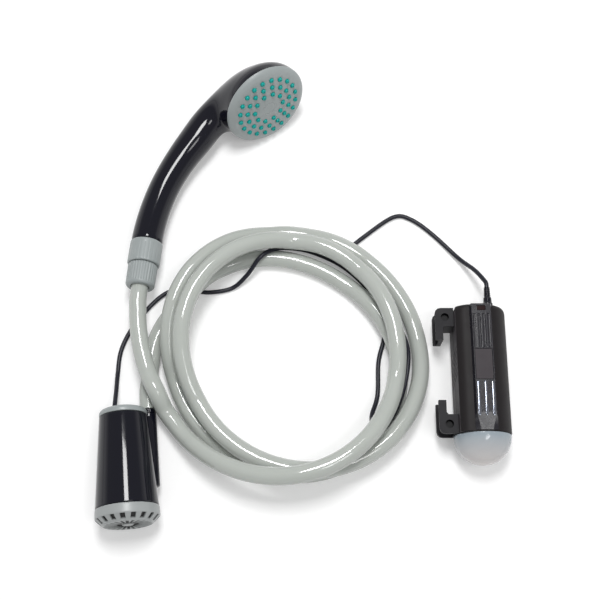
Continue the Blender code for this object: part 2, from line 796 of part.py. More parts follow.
def build_head_face(frame, grey, teal, steel):
    """The face plate, the rubber mat with its nozzles, the face screw and its cap."""
    boss = CAP_RADIUS + 4 * GAP
    inner = HEAD_RADIUS - RIM_SEAT
    recess_floor = FACE_HEIGHT - CAP_RECESS
    boss_floor = mat_low()
    crown = [(HEAD_RADIUS * share, face_height(HEAD_RADIUS * share)) for share in CROWN_RINGS]
    rim = [(HEAD_RADIUS * share, FACE_HEIGHT * rise) for share, rise in RIM_PROFILE]
    plate = (
        (SCREW_RADIUS + GAP, recess_floor),
        (CAP_RADIUS + GAP, recess_floor),
        (CAP_RADIUS + GAP, FACE_HEIGHT),
        *crown,
        *rim,
        (HEAD_RADIUS, -FACE_BACK_DROP / 2),
        (HEAD_RADIUS - 2 * EDGE, -FACE_BACK_DROP),
        (inner, -FACE_BACK_DROP),
        (inner, FACE_HEIGHT - FACE_WALL),
        (boss, FACE_HEIGHT - FACE_WALL),
        (boss, boss_floor),
        (SCREW_RADIUS + GAP, boss_floor),
    )
    face = turned("face_plate", plate, HEAD_SIDES, grey, frame)
    hole = NOZZLE_RADIUS + GAP
    cut(face, nozzle_rods("nozzle_holes", hole, hole, boss_floor, NOZZLE_STANDOUT, grey, frame))
    low = mat_low()
    sheet = (
        (boss + GAP, low),
        (inner - GAP, low),
        (inner - GAP, low + MAT_THICKNESS),
        (boss + GAP, low + MAT_THICKNESS),
    )
    mat = turned("nozzle_mat", sheet, HEAD_SIDES, teal, frame)
    join(mat, nozzle_rods("nozzles", NOZZLE_RADIUS, NOZZLE_RADIUS * NOZZLE_TIP_SHARE,
                          low + MAT_THICKNESS / 2, NOZZLE_STANDOUT, teal, frame))
    head_low = recess_floor + GAP
    head_high = head_low + SCREW_HEAD_HEIGHT
    screw = (
        (0.0, boss_floor - SCREW_LENGTH),
        (SCREW_RADIUS, boss_floor - SCREW_LENGTH),
        (SCREW_RADIUS, head_low),
        (SCREW_HEAD_RADIUS, head_low),
        (SCREW_HEAD_RADIUS, head_high),
        (0.0, head_high),
    )
    turned("face_screw", screw, 12, steel, frame)
    rod("centre_cap", CAP_RADIUS, head_high + GAP, FACE_HEIGHT + CAP_PROUD, 20, grey, frame)


def pump_radius(along):
    """The pump body's outer radius at a distance from its foot."""
    return PUMP_FOOT_RADIUS + (PUMP_TOP_RADIUS - PUMP_FOOT_RADIUS) * along / PUMP_LENGTH


def pump_inner(along):
    return pump_radius(along) - SHELL_WALL


def outlet_place():
    """Where the outlet tube's axis stands beside the pump's axis: across and up."""
    reach = PUMP_TOP_RADIUS + OUTLET_STANDOFF
    return reach * math.cos(OUTLET_ANGLE), reach * math.sin(OUTLET_ANGLE)


def outlet_top():
    return PUMP_LENGTH + OUTLET_RISE


def pump_outlet_end():
    """How far from the foot the outlet spigot ends."""
    return outlet_top() + GAP + SPIGOT_LENGTH


def gland_end():
    return PUMP_LENGTH + GAP + CAP_THICKNESS + GAP


def build_pump_body(frame, black):
    """The tapered shell with its ribs round the motor and the outlet tube along its right side."""
    outline = (
        (pump_inner(0), 0.0),
        (PUMP_FOOT_RADIUS, 0.0),
        (PUMP_TOP_RADIUS, -PUMP_LENGTH),
        (pump_inner(PUMP_LENGTH), -PUMP_LENGTH),
    )
    body = turned("pump_body", outline, PUMP_SIDES, black, frame)
    place = (*outlet_place(), 0.0)
    outlet_start = BULKHEAD_START - BULKHEAD_THICKNESS
    bulkhead_end = BULKHEAD_START + BULKHEAD_THICKNESS + GAP
    join(body, rod("outlet_tube", OUTLET_RADIUS, -outlet_top(), -outlet_start, 16, black, frame, place))
    inside = MOTOR_RADIUS + GAP
    levels = (MOTOR_START + RIB_END_GAP, MOTOR_START + MOTOR_LENGTH - RIB_END_GAP)
    rib = [(inside, -levels[1]), (inside, -levels[0])]
    rib += [(pump_radius(level) - SHELL_WALL / 2, -level) for level in levels]
    for step in range(MOTOR_RIBS):
        angle = OUTLET_ANGLE + math.tau * (step + 0.5) / MOTOR_RIBS
        join(body, extruded("motor_rib", rib, -RIB_THICKNESS / 2, RIB_THICKNESS / 2, black, frame,
                            turn=(math.pi / 2, 0, angle)))
    hollow = (
        (0.0, GAP),
        (pump_inner(0), GAP),
        (pump_inner(bulkhead_end), -bulkhead_end),
        (0.0, -bulkhead_end),
    )
    cut(body, turned("chamber", hollow, PUMP_SIDES, black, frame))
    motor_hollow = rod("motor_hollow", inside, -PUMP_LENGTH, -MOTOR_START, 24, black, frame)
    cut(body, motor_hollow)
    cut(body, rod("outlet_bore", OUTLET_BORE, -outlet_top() - GAP, -outlet_start - OUTLET_FLOOR, 12, black,
                  frame, place))


def build_pump_top(frame, grey, black, rubber):
    """The cap with its skirt and boss, the cable gland and the outlet spigot."""
    low = PUMP_LENGTH + GAP
    high = low + CAP_THICKNESS
    skirt = pump_inner(PUMP_LENGTH) - GAP
    outline = (
        (0.0, -low + CAP_SKIRT),
        (skirt, -low + CAP_SKIRT),
        (skirt, -low),
        (PUMP_TOP_RADIUS, -low),
        (PUMP_TOP_RADIUS, -high + CAP_BEVEL),
        (PUMP_TOP_RADIUS - CAP_BEVEL / 3, -high + CAP_BEVEL / 3),
        (PUMP_TOP_RADIUS - CAP_BEVEL, -high),
        (CAP_BOSS_RADIUS, -high),
        (CAP_BOSS_RADIUS - CAP_BOSS_HEIGHT, -high - CAP_BOSS_HEIGHT),
        (0.0, -high - CAP_BOSS_HEIGHT),
    )
    cap = turned("pump_top_cap", outline, PUMP_SIDES, grey, frame)
    hole_low, hole_high = -high - CUT_MARGIN, -low + CAP_SKIRT + CUT_MARGIN
    cut(cap, rod("gland_hole", GLAND_RADIUS + GAP, hole_low, hole_high, 12, grey, frame,
                 (-GLAND_SIDE, 0.0, 0.0)))
    cut(cap, rod("outlet_notch", OUTLET_RADIUS + GAP, hole_low, hole_high, 16, grey, frame,
                 (*outlet_place(), 0.0)))
    rod("cable_gland", GLAND_RADIUS, -gland_end(), -gland_end() + GLAND_LENGTH, 12, rubber, frame,
        (-GLAND_SIDE, 0.0, 0.0))
    spigot_low = outlet_top() + GAP
    spigot = (
        (OUTLET_BORE, -spigot_low),
        (OUTLET_RADIUS, -spigot_low),
        (OUTLET_RADIUS, -spigot_low - SPIGOT_LENGTH),
        (OUTLET_BORE, -spigot_low - SPIGOT_LENGTH),
    )
    turned("outlet_spigot", spigot, 16, black, frame, (*outlet_place(), 0.0))


def build_pump_inside(frame, steel, white, black):
    """The motor, its shaft, the bulkhead with its seal hole, the impeller and the inlet plate."""
    rod("motor_can", MOTOR_RADIUS, -MOTOR_START - MOTOR_LENGTH, -MOTOR_START - GAP, 24, steel, frame)
    shaft_hole = SHAFT_RADIUS + SLIDING_GAP
    bulkhead_high = BULKHEAD_START + BULKHEAD_THICKNESS
    bulkhead = (
        (shaft_hole, -BULKHEAD_START),
        (pump_inner(bulkhead_high) - GAP, -BULKHEAD_START),
        (pump_inner(bulkhead_high) - GAP, -bulkhead_high),
        (shaft_hole, -bulkhead_high),
    )
    turned("motor_bulkhead", bulkhead, PUMP_SIDES, black, frame)
    rod("motor_shaft", SHAFT_RADIUS, -MOTOR_START + GAP, -IMPELLER_START + SLIDING_GAP, 12, steel, frame)
    high = IMPELLER_START + IMPELLER_DEPTH
    bore = SHAFT_RADIUS + GAP
    hub = (
        (bore, -IMPELLER_START),
        (IMPELLER_HUB, -IMPELLER_START),
        (IMPELLER_HUB, -high + IMPELLER_DISC),
        (IMPELLER_RADIUS, -high + IMPELLER_DISC),
        (IMPELLER_RADIUS, -high),
        (bore, -high),
    )
    impeller = turned("impeller", hub, 24, white, frame)
    reach = IMPELLER_RADIUS - VANE_STEP
    start = IMPELLER_HUB - VANE_STEP
    for vane in range(IMPELLER_VANES):
        angle = math.tau * vane / IMPELLER_VANES
        centre = (start + reach) / 2
        join(impeller, block("vane", (reach - start, VANE_THICKNESS, IMPELLER_DEPTH - IMPELLER_DISC / 2),
                             (centre * math.cos(angle), centre * math.sin(angle),
                              -(IMPELLER_START + high) / 2), white, frame, (0, 0, angle)))
    inlet_high = INLET_START + INLET_THICKNESS
    inlet = (
        (INLET_HOLE, -INLET_START),
        (pump_inner(inlet_high) - GAP, -INLET_START),
        (pump_inner(inlet_high) - GAP, -inlet_high),
        (INLET_HOLE, -inlet_high),
    )
    turned("inlet_plate", inlet, PUMP_SIDES, black, frame)


def build_strainer(frame, grey):
    """The ring and chamfered foot, slotted all round, with a spigot that twists into the body."""
    wall = STRAINER_WALL
    spigot = pump_inner(STRAINER_SPIGOT) - GAP
    inner = STRAINER_RADIUS - wall
    outline = (
        (spigot - wall, -STRAINER_SPIGOT),
        (spigot, -STRAINER_SPIGOT),
        (spigot, GAP),
        (STRAINER_RADIUS - EDGE, GAP),
        (STRAINER_RADIUS, STRAINER_RING),
        (STRAINER_FOOT_RADIUS, STRAINER_DEPTH),
        (0.0, STRAINER_DEPTH),
        (0.0, STRAINER_DEPTH - wall),
        (STRAINER_FOOT_RADIUS - wall, STRAINER_DEPTH - wall),
        (spigot - wall, STRAINER_RING - wall / 2),
    )
    strainer = turned("strainer", outline, PUMP_SIDES, grey, frame)
    middle_radius = (STRAINER_RADIUS + STRAINER_FOOT_RADIUS) / 2
    middle = (STRAINER_RING + STRAINER_DEPTH) / 2
    slope = math.atan2(STRAINER_DEPTH - STRAINER_RING, STRAINER_RADIUS - STRAINER_FOOT_RADIUS)
    length = math.hypot(STRAINER_DEPTH - STRAINER_RING, STRAINER_RADIUS - STRAINER_FOOT_RADIUS)
    for slot in range(STRAINER_SLOTS):
        angle = math.tau * (slot + 0.5) / STRAINER_SLOTS
        window = block("slot", (length * SLOT_SHARE, SLOT_WIDTH, 4 * wall),
                       (middle_radius * math.cos(angle), middle_radius * math.sin(angle), middle),
                       grey, frame)
        window.rotation_euler = (0, slope, angle)
        bpy.context.view_layer.update()
        cut(strainer, window)
    for slot in range(FOOT_SLOTS):
        angle = math.tau * slot / FOOT_SLOTS
        centre = STRAINER_FOOT_RADIUS * FOOT_SLOT_SHARE
        cut(strainer, block("foot_slot", (centre, FOOT_SLOT_WIDTH, 4 * wall),
                            (centre * math.cos(angle), centre * math.sin(angle), STRAINER_DEPTH - wall / 2),
                            grey, frame, (0, 0, angle)))


def case_outline(radius, left, top, sides=28):
    """The case's section: round on the right, squared off on the left, where it has a flat wall, and
    with a flat land on top."""
    points = []
    for step in range(sides):
        angle = math.tau * (step + 0.5) / sides
        across, up = math.cos(angle), math.sin(angle)
        if across < 0:
            across = -abs(across) ** CASE_SQUARENESS
            up = math.copysign(abs(up) ** CASE_SQUARENESS, up)
        points.append((max(radius * across, -left), min(radius * up, top)))
    return points


def case_end():
    return CASE_START + CASE_LENGTH


def build_case(frame, black):
    """The case's upper and lower shells, hollow for the cells and open at the lamp."""
    for name, side in (("case_upper", 1), ("case_lower", -1)):
        full = case_outline(CASE_RADIUS, CASE_LEFT, CASE_TOP_FLAT)
        end = case_outline(CASE_RADIUS - CASE_SHOULDER_INSET, CASE_LEFT - CASE_SHOULDER_INSET / 2,
                           CASE_TOP_FLAT)
        inside = case_outline(CASE_RADIUS - CASE_WALL, CASE_LEFT - CASE_WALL, CASE_TOP_FLAT - CASE_WALL)
        levels = ((full, -CASE_START), (full, -case_end() + CASE_SHOULDER), (end, -case_end()))
        shell = lofted(name, [[(x, y, level) for x, y in ring] for ring, level in levels], black, frame)
        cut(shell, extruded("case_hollow", inside, -case_end() + CASE_END_WALL, GAP, black, frame))
        keep = 2 * CASE_RADIUS
        cut(shell, block("other_half", (2 * keep, keep, 2 * CASE_LENGTH),
                         (0, -side * (keep / 2 - GAP / 2), -case_end() / 2), black, frame))
        if side > 0:
            hole = (WINDOW_WIDTH - 2 * WINDOW_LEDGE, STRIP_HEIGHT, WINDOW_LENGTH - 2 * WINDOW_LEDGE)
            cut(shell, block("window_hole", hole, (0, CASE_TOP_FLAT, window_middle()), black, frame))
        low, high = -case_end() - CUT_MARGIN, -case_end() + CASE_END_WALL + CUT_MARGIN
        cut(shell, rod("jack_hole", JACK_RADIUS + GAP, low, high, 16, black, frame,
                       (JACK_SIDE, JACK_RISE, 0.0)))
        cut(shell, rod("button_hole", BUTTON_RADIUS + SLIDING_GAP, low, high, 16, black, frame,
                       (-BUTTON_SIDE, 0.0, 0.0)))


def window_middle():
    return -case_end() + WINDOW_TO_END + WINDOW_LENGTH / 2


def strip_section(width, top_width, height):
    """Half-section values of the faceted strip at one place along it."""
    low = CASE_TOP_FLAT + GAP
    return ((-width / 2, low), (-top_width / 2, height), (top_width / 2, height), (width / 2, low))


def build_strip(frame, trim, black, gloss, red):
    """The faceted strip along the case's top, with its grooves, bare panel, ribs and window."""
    full = strip_section(STRIP_WIDTH, STRIP_TOP_WIDTH, STRIP_HEIGHT)
    low_end = strip_section(STRIP_WIDTH, STRIP_TOP_WIDTH * STRIP_TIP_SHARE, CASE_TOP_FLAT + STRIP_TIP_RISE)
    levels = ((low_end, -STRIP_END), (full, -STRIP_TAPER_START), (full, -case_end() + STRIP_FAR_INSET))
    strip = lofted("trim_strip", [[(x, y, level) for x, y in ring] for ring, level in levels], trim, frame)
    groove_start = -PANEL_START - PANEL_LENGTH - GROOVE_TO_PANEL
    groove_end = window_middle() + WINDOW_LENGTH / 2 + GROOVE_TO_WINDOW
    for groove in range(GROOVE_COUNT):
        x = (groove - (GROOVE_COUNT - 1) / 2) * STRIP_TOP_WIDTH / GROOVE_COUNT
        cut(strip, block("groove", (GROOVE_WIDTH, 2 * GROOVE_DEPTH, groove_start - groove_end),
                         (x, STRIP_HEIGHT, (groove_start + groove_end) / 2), trim, frame))
    middle = -PANEL_START - PANEL_LENGTH / 2
    cut(strip, block("panel_recess", (PANEL_WIDTH + 2 * GAP, 2 * PANEL_DEPTH, PANEL_LENGTH + 2 * GAP),
                     (0, STRIP_HEIGHT, middle), trim, frame))
    thickness = PANEL_DEPTH - 2 * GAP
    block("label_panel", (PANEL_WIDTH, thickness, PANEL_LENGTH),
          (0, STRIP_HEIGHT - PANEL_DEPTH + GAP + thickness / 2, middle), black, frame)
    cut(strip, block("window_recess", (WINDOW_WIDTH + 2 * GAP, 3 * STRIP_HEIGHT, WINDOW_LENGTH + 2 * GAP),
                     (0, STRIP_HEIGHT, window_middle()), trim, frame))
    window_low = CASE_TOP_FLAT + GAP
    block("indicator_window", (WINDOW_WIDTH, STRIP_HEIGHT - GAP - window_low, WINDOW_LENGTH),
          (0, (STRIP_HEIGHT - GAP + window_low) / 2, window_middle()), red, frame)
    for rib in range(RIB_COUNT):
        x = (rib - (RIB_COUNT - 1) / 2) * RIB_PITCH
        outline = rounded_rectangle(RIB_WIDTH / 2, RIB_LENGTH / 2, RIB_WIDTH / 2 - EDGE / 2, 3)
        extruded(f"gloss_rib_{rib + 1}", outline, STRIP_HEIGHT + GAP, STRIP_HEIGHT + RIB_STANDOUT, gloss,
                 frame, (x, 0.0, -RIB_START - RIB_LENGTH / 2), (-math.pi / 2, 0, 0))


def quarter_arc(radius, steps=6):
    """Points (radius, height) from a ball's widest ring to its pole."""
    angles = [math.pi / 2 * step / steps for step in range(steps)]
    return [(radius * math.cos(angle), radius * math.sin(angle)) for angle in angles] + [(0.0, radius)]


def build_lamp(frame, frosted, white, yellow):
    """The frosted dome, the lamp board and the light source on it."""
    outer = quarter_arc(LAMP_RADIUS)
    inner_radius = LAMP_RADIUS - LAMP_WALL
    inner = quarter_arc(inner_radius)[::-1]
    outline = [(LAMP_RADIUS, -LAMP_BASE), *outer, *inner, (inner_radius, -LAMP_BASE)]
    turned("lamp_dome", outline, 32, frosted, frame)
    radius = CASE_LEFT - CASE_WALL - GAP
    board_start = CASE_START + SLIDING_GAP
    rod("lamp_board", radius, -board_start - LAMP_BOARD_THICKNESS, -board_start, 24, white, frame)
    rod("lamp_led", LED_RADIUS, -board_start + GAP, -board_start + GAP + LED_THICKNESS, 16, yellow, frame)


def build_pack_inside(frame, green, wrap, black):
    """The two cells, their holder and the control board."""
    side = CELL_RADIUS + SLIDING_GAP / 2
    for name, x in (("cell_1", CELLS_SIDE - side), ("cell_2", CELLS_SIDE + side)):
        rod(name, CELL_RADIUS, -CELL_START - CELL_LENGTH, -CELL_START, 20, wrap, frame, (x, 0.0, 0.0))
    bottom = -CELL_RADIUS - HOLDER_FLOOR
    holder = block("cell_holder", (HOLDER_WIDTH, HOLDER_HEIGHT, CELL_LENGTH),
                   (CELLS_SIDE, bottom + HOLDER_HEIGHT / 2, -CELL_START - CELL_LENGTH / 2), black, frame)
    for x in (CELLS_SIDE - side, CELLS_SIDE + side):
        cut(holder, rod("cradle", CELL_RADIUS + GAP, -CELL_START - CELL_LENGTH - CUT_MARGIN,
                        -CELL_START + CUT_MARGIN, 20, black, frame, (x, 0.0, 0.0)))
    board_low = CELL_RADIUS + 2 * SLIDING_GAP
    block("control_board", (BOARD_WIDTH, BOARD_THICKNESS, BOARD_LENGTH),
          (0, board_low + BOARD_THICKNESS / 2, -CELL_START - BOARD_LENGTH / 2), green, frame)


def plug_end():
    return PLUG_BODY_LENGTH + PLUG_RELIEF_LENGTH


def build_jack_and_plug(frame, plug_frame, black, steel):
    """The power jack in the case's end, and the plug with its strain relief."""
    mouth = case_end() - SLIDING_GAP
    place = (JACK_SIDE, JACK_RISE, 0.0)
    socket = PLUG_BARREL_RADIUS + GAP
    back = PLUG_BARREL_LENGTH + SOCKET_END_GAP
    jack = (
        (0.0, -mouth + JACK_LENGTH),
        (JACK_RADIUS, -mouth + JACK_LENGTH),
        (JACK_RADIUS, -mouth),
        (socket, -mouth),
        (socket, -mouth + back),
        (0.0, -mouth + back),
    )
    turned("power_jack", jack, 16, black, frame, place)
    rod("plug_barrel", PLUG_BARREL_RADIUS, -GAP, PLUG_BARREL_LENGTH, 16, steel, plug_frame)
    relief = CABLE_RADIUS + RELIEF_WALL
    waist = PLUG_BODY_RADIUS * PLUG_WAIST_SHARE
    plug = (
        (0.0, -2 * GAP),
        (PLUG_BODY_RADIUS, -2 * GAP),
        (PLUG_BODY_RADIUS, -PLUG_BODY_LENGTH / 2),
        (waist, -PLUG_BODY_LENGTH / 2 - 2 * EDGE),
        (waist, -PLUG_BODY_LENGTH),
        (relief + EDGE, -PLUG_BODY_LENGTH - 2 * EDGE),
        (relief, -plug_end()),
        (0.0, -plug_end()),
    )
    turned("plug_body", plug, 16, black, plug_frame)


def build_button(frame, black):
    """The push button in the case's end, with a flange behind the wall."""
    end = case_end()
    flange = end - CASE_END_WALL - GAP
    stem = (
        (0.0, -end - BUTTON_STANDOUT),
        (BUTTON_RADIUS, -end - BUTTON_STANDOUT),
        (BUTTON_RADIUS, -flange),
        (BUTTON_RADIUS + BUTTON_FLANGE, -flange),
        (BUTTON_RADIUS + BUTTON_FLANGE, -flange + BUTTON_FLANGE_THICKNESS),
        (0.0, -flange + BUTTON_FLANGE_THICKNESS),
    )
    turned("power_button", stem, 16, black, frame, (-BUTTON_SIDE, 0.0, 0.0))


def hook_tip():
    return -CASE_LEFT - GAP - HOOK_REACH


def hook_outline(end, towards):
    """A hook's outline in X and Z: an arm out from the wall and a finger along it."""
    wall = -CASE_LEFT - GAP
    tip = hook_tip()
    arm = end + towards * HOOK_ARM
    finger = arm + towards * HOOK_FINGER_DROP
    outline = [(wall, end)]
    for step in range(4):
        angle = math.pi / 2 * step / 3
        inwards, along = HOOK_CORNER * (1 - math.sin(angle)), HOOK_CORNER * (1 - math.cos(angle))
        outline.append((tip + inwards, end + towards * along))
    outline += [
        (tip, finger - towards * EDGE),
        (tip + EDGE, finger),
        (tip + HOOK_FINGER, finger),
        (tip + HOOK_FINGER, arm + towards * HOOK_INNER_CORNER),
        (tip + HOOK_FINGER + HOOK_INNER_CORNER, arm),
        (wall, arm),
    ]
    return outline


def build_hooks(frame, black, steel):
    """The two hooks on the left wall, facing each other: each has a channel round its outer side,
    which leaves two plates and a web, and a screw at the bottom of a well in its arm."""
    half = HOOK_DEPTH / 2
    turn = (-math.pi / 2, 0, 0)
    tip = hook_tip()
    between = HOOK_DEPTH - 2 * HOOK_PLATE
    for name, end, towards in (("hook_upper", -case_end(), 1), ("hook_lower", -CASE_START, -1)):
        outline = [(x, -z) for x, z in hook_outline(end, towards)]
        hook = extruded(name, outline, -half, half, black, frame, turn=turn)
        length = HOOK_ARM + HOOK_FINGER_DROP
        cut(hook, block("side_channel", (2 * HOOK_CHANNEL, between, length + 2 * CUT_MARGIN),
                        (tip, 0, end + towards * length / 2), black, frame))
        cut(hook, block("end_channel", (HOOK_REACH, between, 2 * HOOK_CHANNEL),
                        (tip + HOOK_REACH / 2 - HOOK_CHANNEL, 0, end), black, frame))
        place = (tip + HOOK_SCREW_SIDE, half, end + towards * HOOK_ARM / 2)
        cut(hook, rod("screw_well", HOOK_SCREW_RADIUS + GAP, -HOOK_SCREW_DEPTH, CUT_MARGIN, 16, black, frame,
                      place, turn))
        rod(name.replace("hook", "hook_screw"), HOOK_SCREW_RADIUS, -HOOK_SCREW_DEPTH + GAP,
            -HOOK_SCREW_DEPTH + GAP + HOOK_SCREW_HEAD, 16, steel, frame, place, turn)


def main():
    for obj in list(bpy.data.objects):
        bpy.data.objects.remove(obj)
    black = look("gloss_black_plastic", (0.012, 0.012, 0.016), 0.18)
    satin = look("satin_dark_plastic", (0.035, 0.029, 0.031), 0.42)
    trim = look("strip_plastic", (0.075, 0.066, 0.070), 0.38)
    grey = look("light_grey_plastic", (0.36, 0.38, 0.37), 0.42)
    hose_grey = look("hose_pvc", (0.42, 0.45, 0.41), 0.16)
    cable_black = look("cable_rubber", (0.015, 0.015, 0.02), 0.4)
    rubber = look("black_rubber", (0.02, 0.02, 0.02), 0.6)
    teal = look("teal_rubber", (0.0, 0.30, 0.27), 0.4)
    frosted = look("frosted_dome", (0.62, 0.68, 0.72), 0.35)
    steel = look("bright_steel", (0.6, 0.6, 0.6), 0.3, 1.0)
    white = look("white_plastic", (0.75, 0.75, 0.73), 0.4)
    yellow = look("light_source", (0.85, 0.7, 0.2), 0.4)
    green = look("circuit_board", (0.02, 0.16, 0.06), 0.5)
    wrap = look("cell_wrap", (0.03, 0.12, 0.35), 0.4)
    red = look("red_window", (0.12, 0.01, 0.015), 0.15)
    gloss = look("gloss_rib_plastic", (0.5, 0.5, 0.52), 0.12)

    handset = frame_empty("handset_frame", Matrix.Translation(HANDSET_PLACE + LAYOUT_SHIFT)
                          @ Matrix.Rotation(HANDSET_TURN, 4, "Z")
                          @ Matrix.Rotation(math.pi / 2 + HANDSET_TILT, 4, "X")
                          @ Matrix.Rotation(HANDSET_ROLL, 4, "Z"))
    head = frame_empty("head_frame", Matrix.Translation((HEAD_REACH, 0, -HEAD_RISE))
                       @ Matrix.Rotation(HEAD_TURN, 4, "Y"), handset)
    taper = math.atan2(PUMP_FOOT_RADIUS - PUMP_TOP_RADIUS, PUMP_LENGTH)
    pump = frame_empty("pump_frame", Matrix.Translation(PUMP_PLACE + LAYOUT_SHIFT)
                       @ Matrix.Rotation(PUMP_TURN, 4, "Z")
                       @ Matrix.Rotation(math.pi / 2 - taper, 4, "X"))
    pack = frame_empty("pack_frame", Matrix.Translation(PACK_PLACE + LAYOUT_SHIFT)
                       @ Matrix.Rotation(math.pi / 2, 4, "X"))
    plug = frame_empty("plug_frame", Matrix.Translation((JACK_SIDE, JACK_RISE, -case_end() - GAP)), pack)

    build_nut_and_collar(handset, grey, steel, rubber)
    build_handset_shell(handset, head, black)
    build_head_face(head, grey, teal, steel)
    build_pump_body(pump, black)
    build_pump_top(pump, grey, black, rubber)
    build_pump_inside(pump, steel, white, black)
    build_strainer(pump, grey)
    build_case(pack, satin)
    build_strip(pack, trim, satin, gloss, red)
    build_lamp(pack, frosted, white, yellow)
    build_pack_inside(pack, green, wrap, black)
    build_jack_and_plug(pack, plug, black, steel)
    build_button(pack, black)
    build_hooks(pack, satin, steel)
    cable = cable_points(pump, plug)
    build_hose(handset, pump, cable, hose_grey)
    build_cable(cable, cable_black)


main()
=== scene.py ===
import json
import math
import bmesh
import bpy
import numpy as np
from mathutils import Matrix, Vector


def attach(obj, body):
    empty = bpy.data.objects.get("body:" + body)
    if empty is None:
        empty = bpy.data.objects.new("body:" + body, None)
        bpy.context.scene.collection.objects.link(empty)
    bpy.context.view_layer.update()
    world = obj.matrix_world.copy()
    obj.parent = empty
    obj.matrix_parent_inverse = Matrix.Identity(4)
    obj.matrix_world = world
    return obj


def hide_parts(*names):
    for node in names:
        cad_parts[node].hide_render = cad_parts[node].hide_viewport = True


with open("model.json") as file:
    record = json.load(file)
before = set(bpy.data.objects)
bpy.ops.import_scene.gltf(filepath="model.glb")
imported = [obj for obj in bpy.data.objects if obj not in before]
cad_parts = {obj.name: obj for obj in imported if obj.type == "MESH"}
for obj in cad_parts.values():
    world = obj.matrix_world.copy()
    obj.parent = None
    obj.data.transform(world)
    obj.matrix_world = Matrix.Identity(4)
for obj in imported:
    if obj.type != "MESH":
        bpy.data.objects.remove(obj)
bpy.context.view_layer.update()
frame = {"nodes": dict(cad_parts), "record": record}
nodes = frame["nodes"]
print("frame loaded:", len(nodes), "nodes")

# Where each unit stands, in metres and degrees
layout = {
    "shift": (-0.0033, -0.0036, 0.0),
    "handsetPlace": (-0.1315, 0.0039, 0.0220),
    "handsetTurn": -4.9,
    "handsetTilt": -5.3,
    "handsetRoll": 19.1,
    "headReach": 0.0929,
    "headRise": 0.1665,
    "headTurn": 39.3,
    "pumpPlace": (-0.1318, -0.1748, 0.0245),
    "pumpTurn": 6.2,
    "packPlace": (0.1426, -0.1197, 0.0230),
}


def unitFrame(place, turn, tilt, roll=0.0):
    # A unit's frame: local Z along its axis towards the near side, local Y up
    moved = Matrix.Translation(Vector(place) + Vector(layout["shift"]))
    return (moved @ Matrix.Rotation(math.radians(turn), 4, "Z") @ Matrix.Rotation(math.radians(tilt), 4, "X")
            @ Matrix.Rotation(math.radians(roll), 4, "Z"))


def inWorld(matrix, points):
    # Every point of an array, turned and moved by the frame
    table = np.array(matrix)
    return points @ table[:3, :3].T + table[:3, 3]


# Mesh tools: a grid of points becomes faces, and a line of points becomes a smooth path

def quads(index):
    # Four-sided faces between neighbouring rows and columns of an array of point numbers
    corners = (index[..., :-1, :-1], index[..., :-1, 1:], index[..., 1:, 1:], index[..., 1:, :-1])
    return np.stack(corners, axis=-1).reshape(-1, 4)


def gridMesh(name, points, sharp=40.0, stretch=None, marks=None):
    # Point (row, column) joins its neighbours in four-sided faces. Rows and columns that meet are
    #  merged, which closes seams and poles. The UV map is the length along the grid in metres, and a
    #  second one holds two masks, such as where painted shade goes.
    rows, columns = points.shape[:2]
    faces = quads(np.arange(rows * columns).reshape(rows, columns))
    mesh = bpy.data.meshes.new(name)
    mesh.from_pydata(points.reshape(-1, 3).tolist(), [], faces.tolist())
    along, around = pathLength(points[:, columns // 2]), pathLength(points[rows // 2])
    if stretch is not None:
        along, around = stretch
    places = np.stack(np.broadcast_arrays(around[None, :], along[:, None]), axis=-1).reshape(-1, 2)
    maps = {"surface": places}
    if marks is not None:
        maps["marks"] = np.stack(marks, axis=-1).reshape(-1, 2)
    for title, values in maps.items():
        layer = mesh.uv_layers.new(name=title)
        layer.data.foreach_set("uv", values[faces.reshape(-1)].astype(np.float32).ravel())
    return closed(name, mesh, sharp)


def closed(name, mesh, sharp):
    # Merges what meets, fills any open end and turns the faces outwards
    builder = bmesh.new()
    builder.from_mesh(mesh)
    bmesh.ops.remove_doubles(builder, verts=builder.verts, dist=2e-6)
    bmesh.ops.dissolve_degenerate(builder, edges=builder.edges, dist=1e-7)
    openEdges = [edge for edge in builder.edges if len(edge.link_faces) == 1]
    if openEdges:
        bmesh.ops.holes_fill(builder, edges=openEdges, sides=0)
    bmesh.ops.recalc_face_normals(builder, faces=builder.faces)
    builder.to_mesh(mesh)
    builder.free()
    mesh.shade_smooth()
    mesh.set_sharp_from_angle(angle=math.radians(sharp))
    return placed(name, mesh)


def placed(name, data):
    # An object for a mesh, a camera or a lamp
    piece = bpy.data.objects.new(name, data)
    bpy.context.collection.objects.link(piece)
    return piece


def ringMesh(name, matrix, x, y, z, sharp=40.0, marks=None):
    # Rings of points in a unit's frame, each of which ends where it starts
    points = np.stack(np.broadcast_arrays(x, y, z), axis=-1)
    points[:, -1] = points[:, 0]
    return gridMesh(name, inWorld(matrix, points), sharp, marks=marks)


def smoothPath(points, steps):
    # A curve through every point: each stretch is a cubic of its two ends and their two neighbours
    points = np.asarray(points, float)
    padded = np.concatenate((2 * points[:1] - points[1:2], points, 2 * points[-1:] - points[-2:-1]))
    before, start, end, after = (padded[k:len(padded) - 3 + k, None] for k in range(4))
    share = (np.arange(steps) / steps)[None, :, None]
    square = 2 * before - 5 * start + 4 * end - after
    cube = 3 * start - before - 3 * end + after
    curve = 0.5 * (2 * start + (end - before) * share + square * share ** 2 + cube * share ** 3)
    return np.concatenate((curve.reshape(-1, points.shape[1]), points[-1:]))


def directions(path):
    # Which way the path runs at each of its points, as arrows of length one
    ahead = np.gradient(path, axis=0)
    return ahead / np.linalg.norm(ahead, axis=1, keepdims=True)


def polar(radius, angle):
    return radius * np.cos(angle), radius * np.sin(angle)


def pathLength(points):
    return np.concatenate(([0.0], np.cumsum(np.linalg.norm(np.diff(points, axis=0), axis=1))))


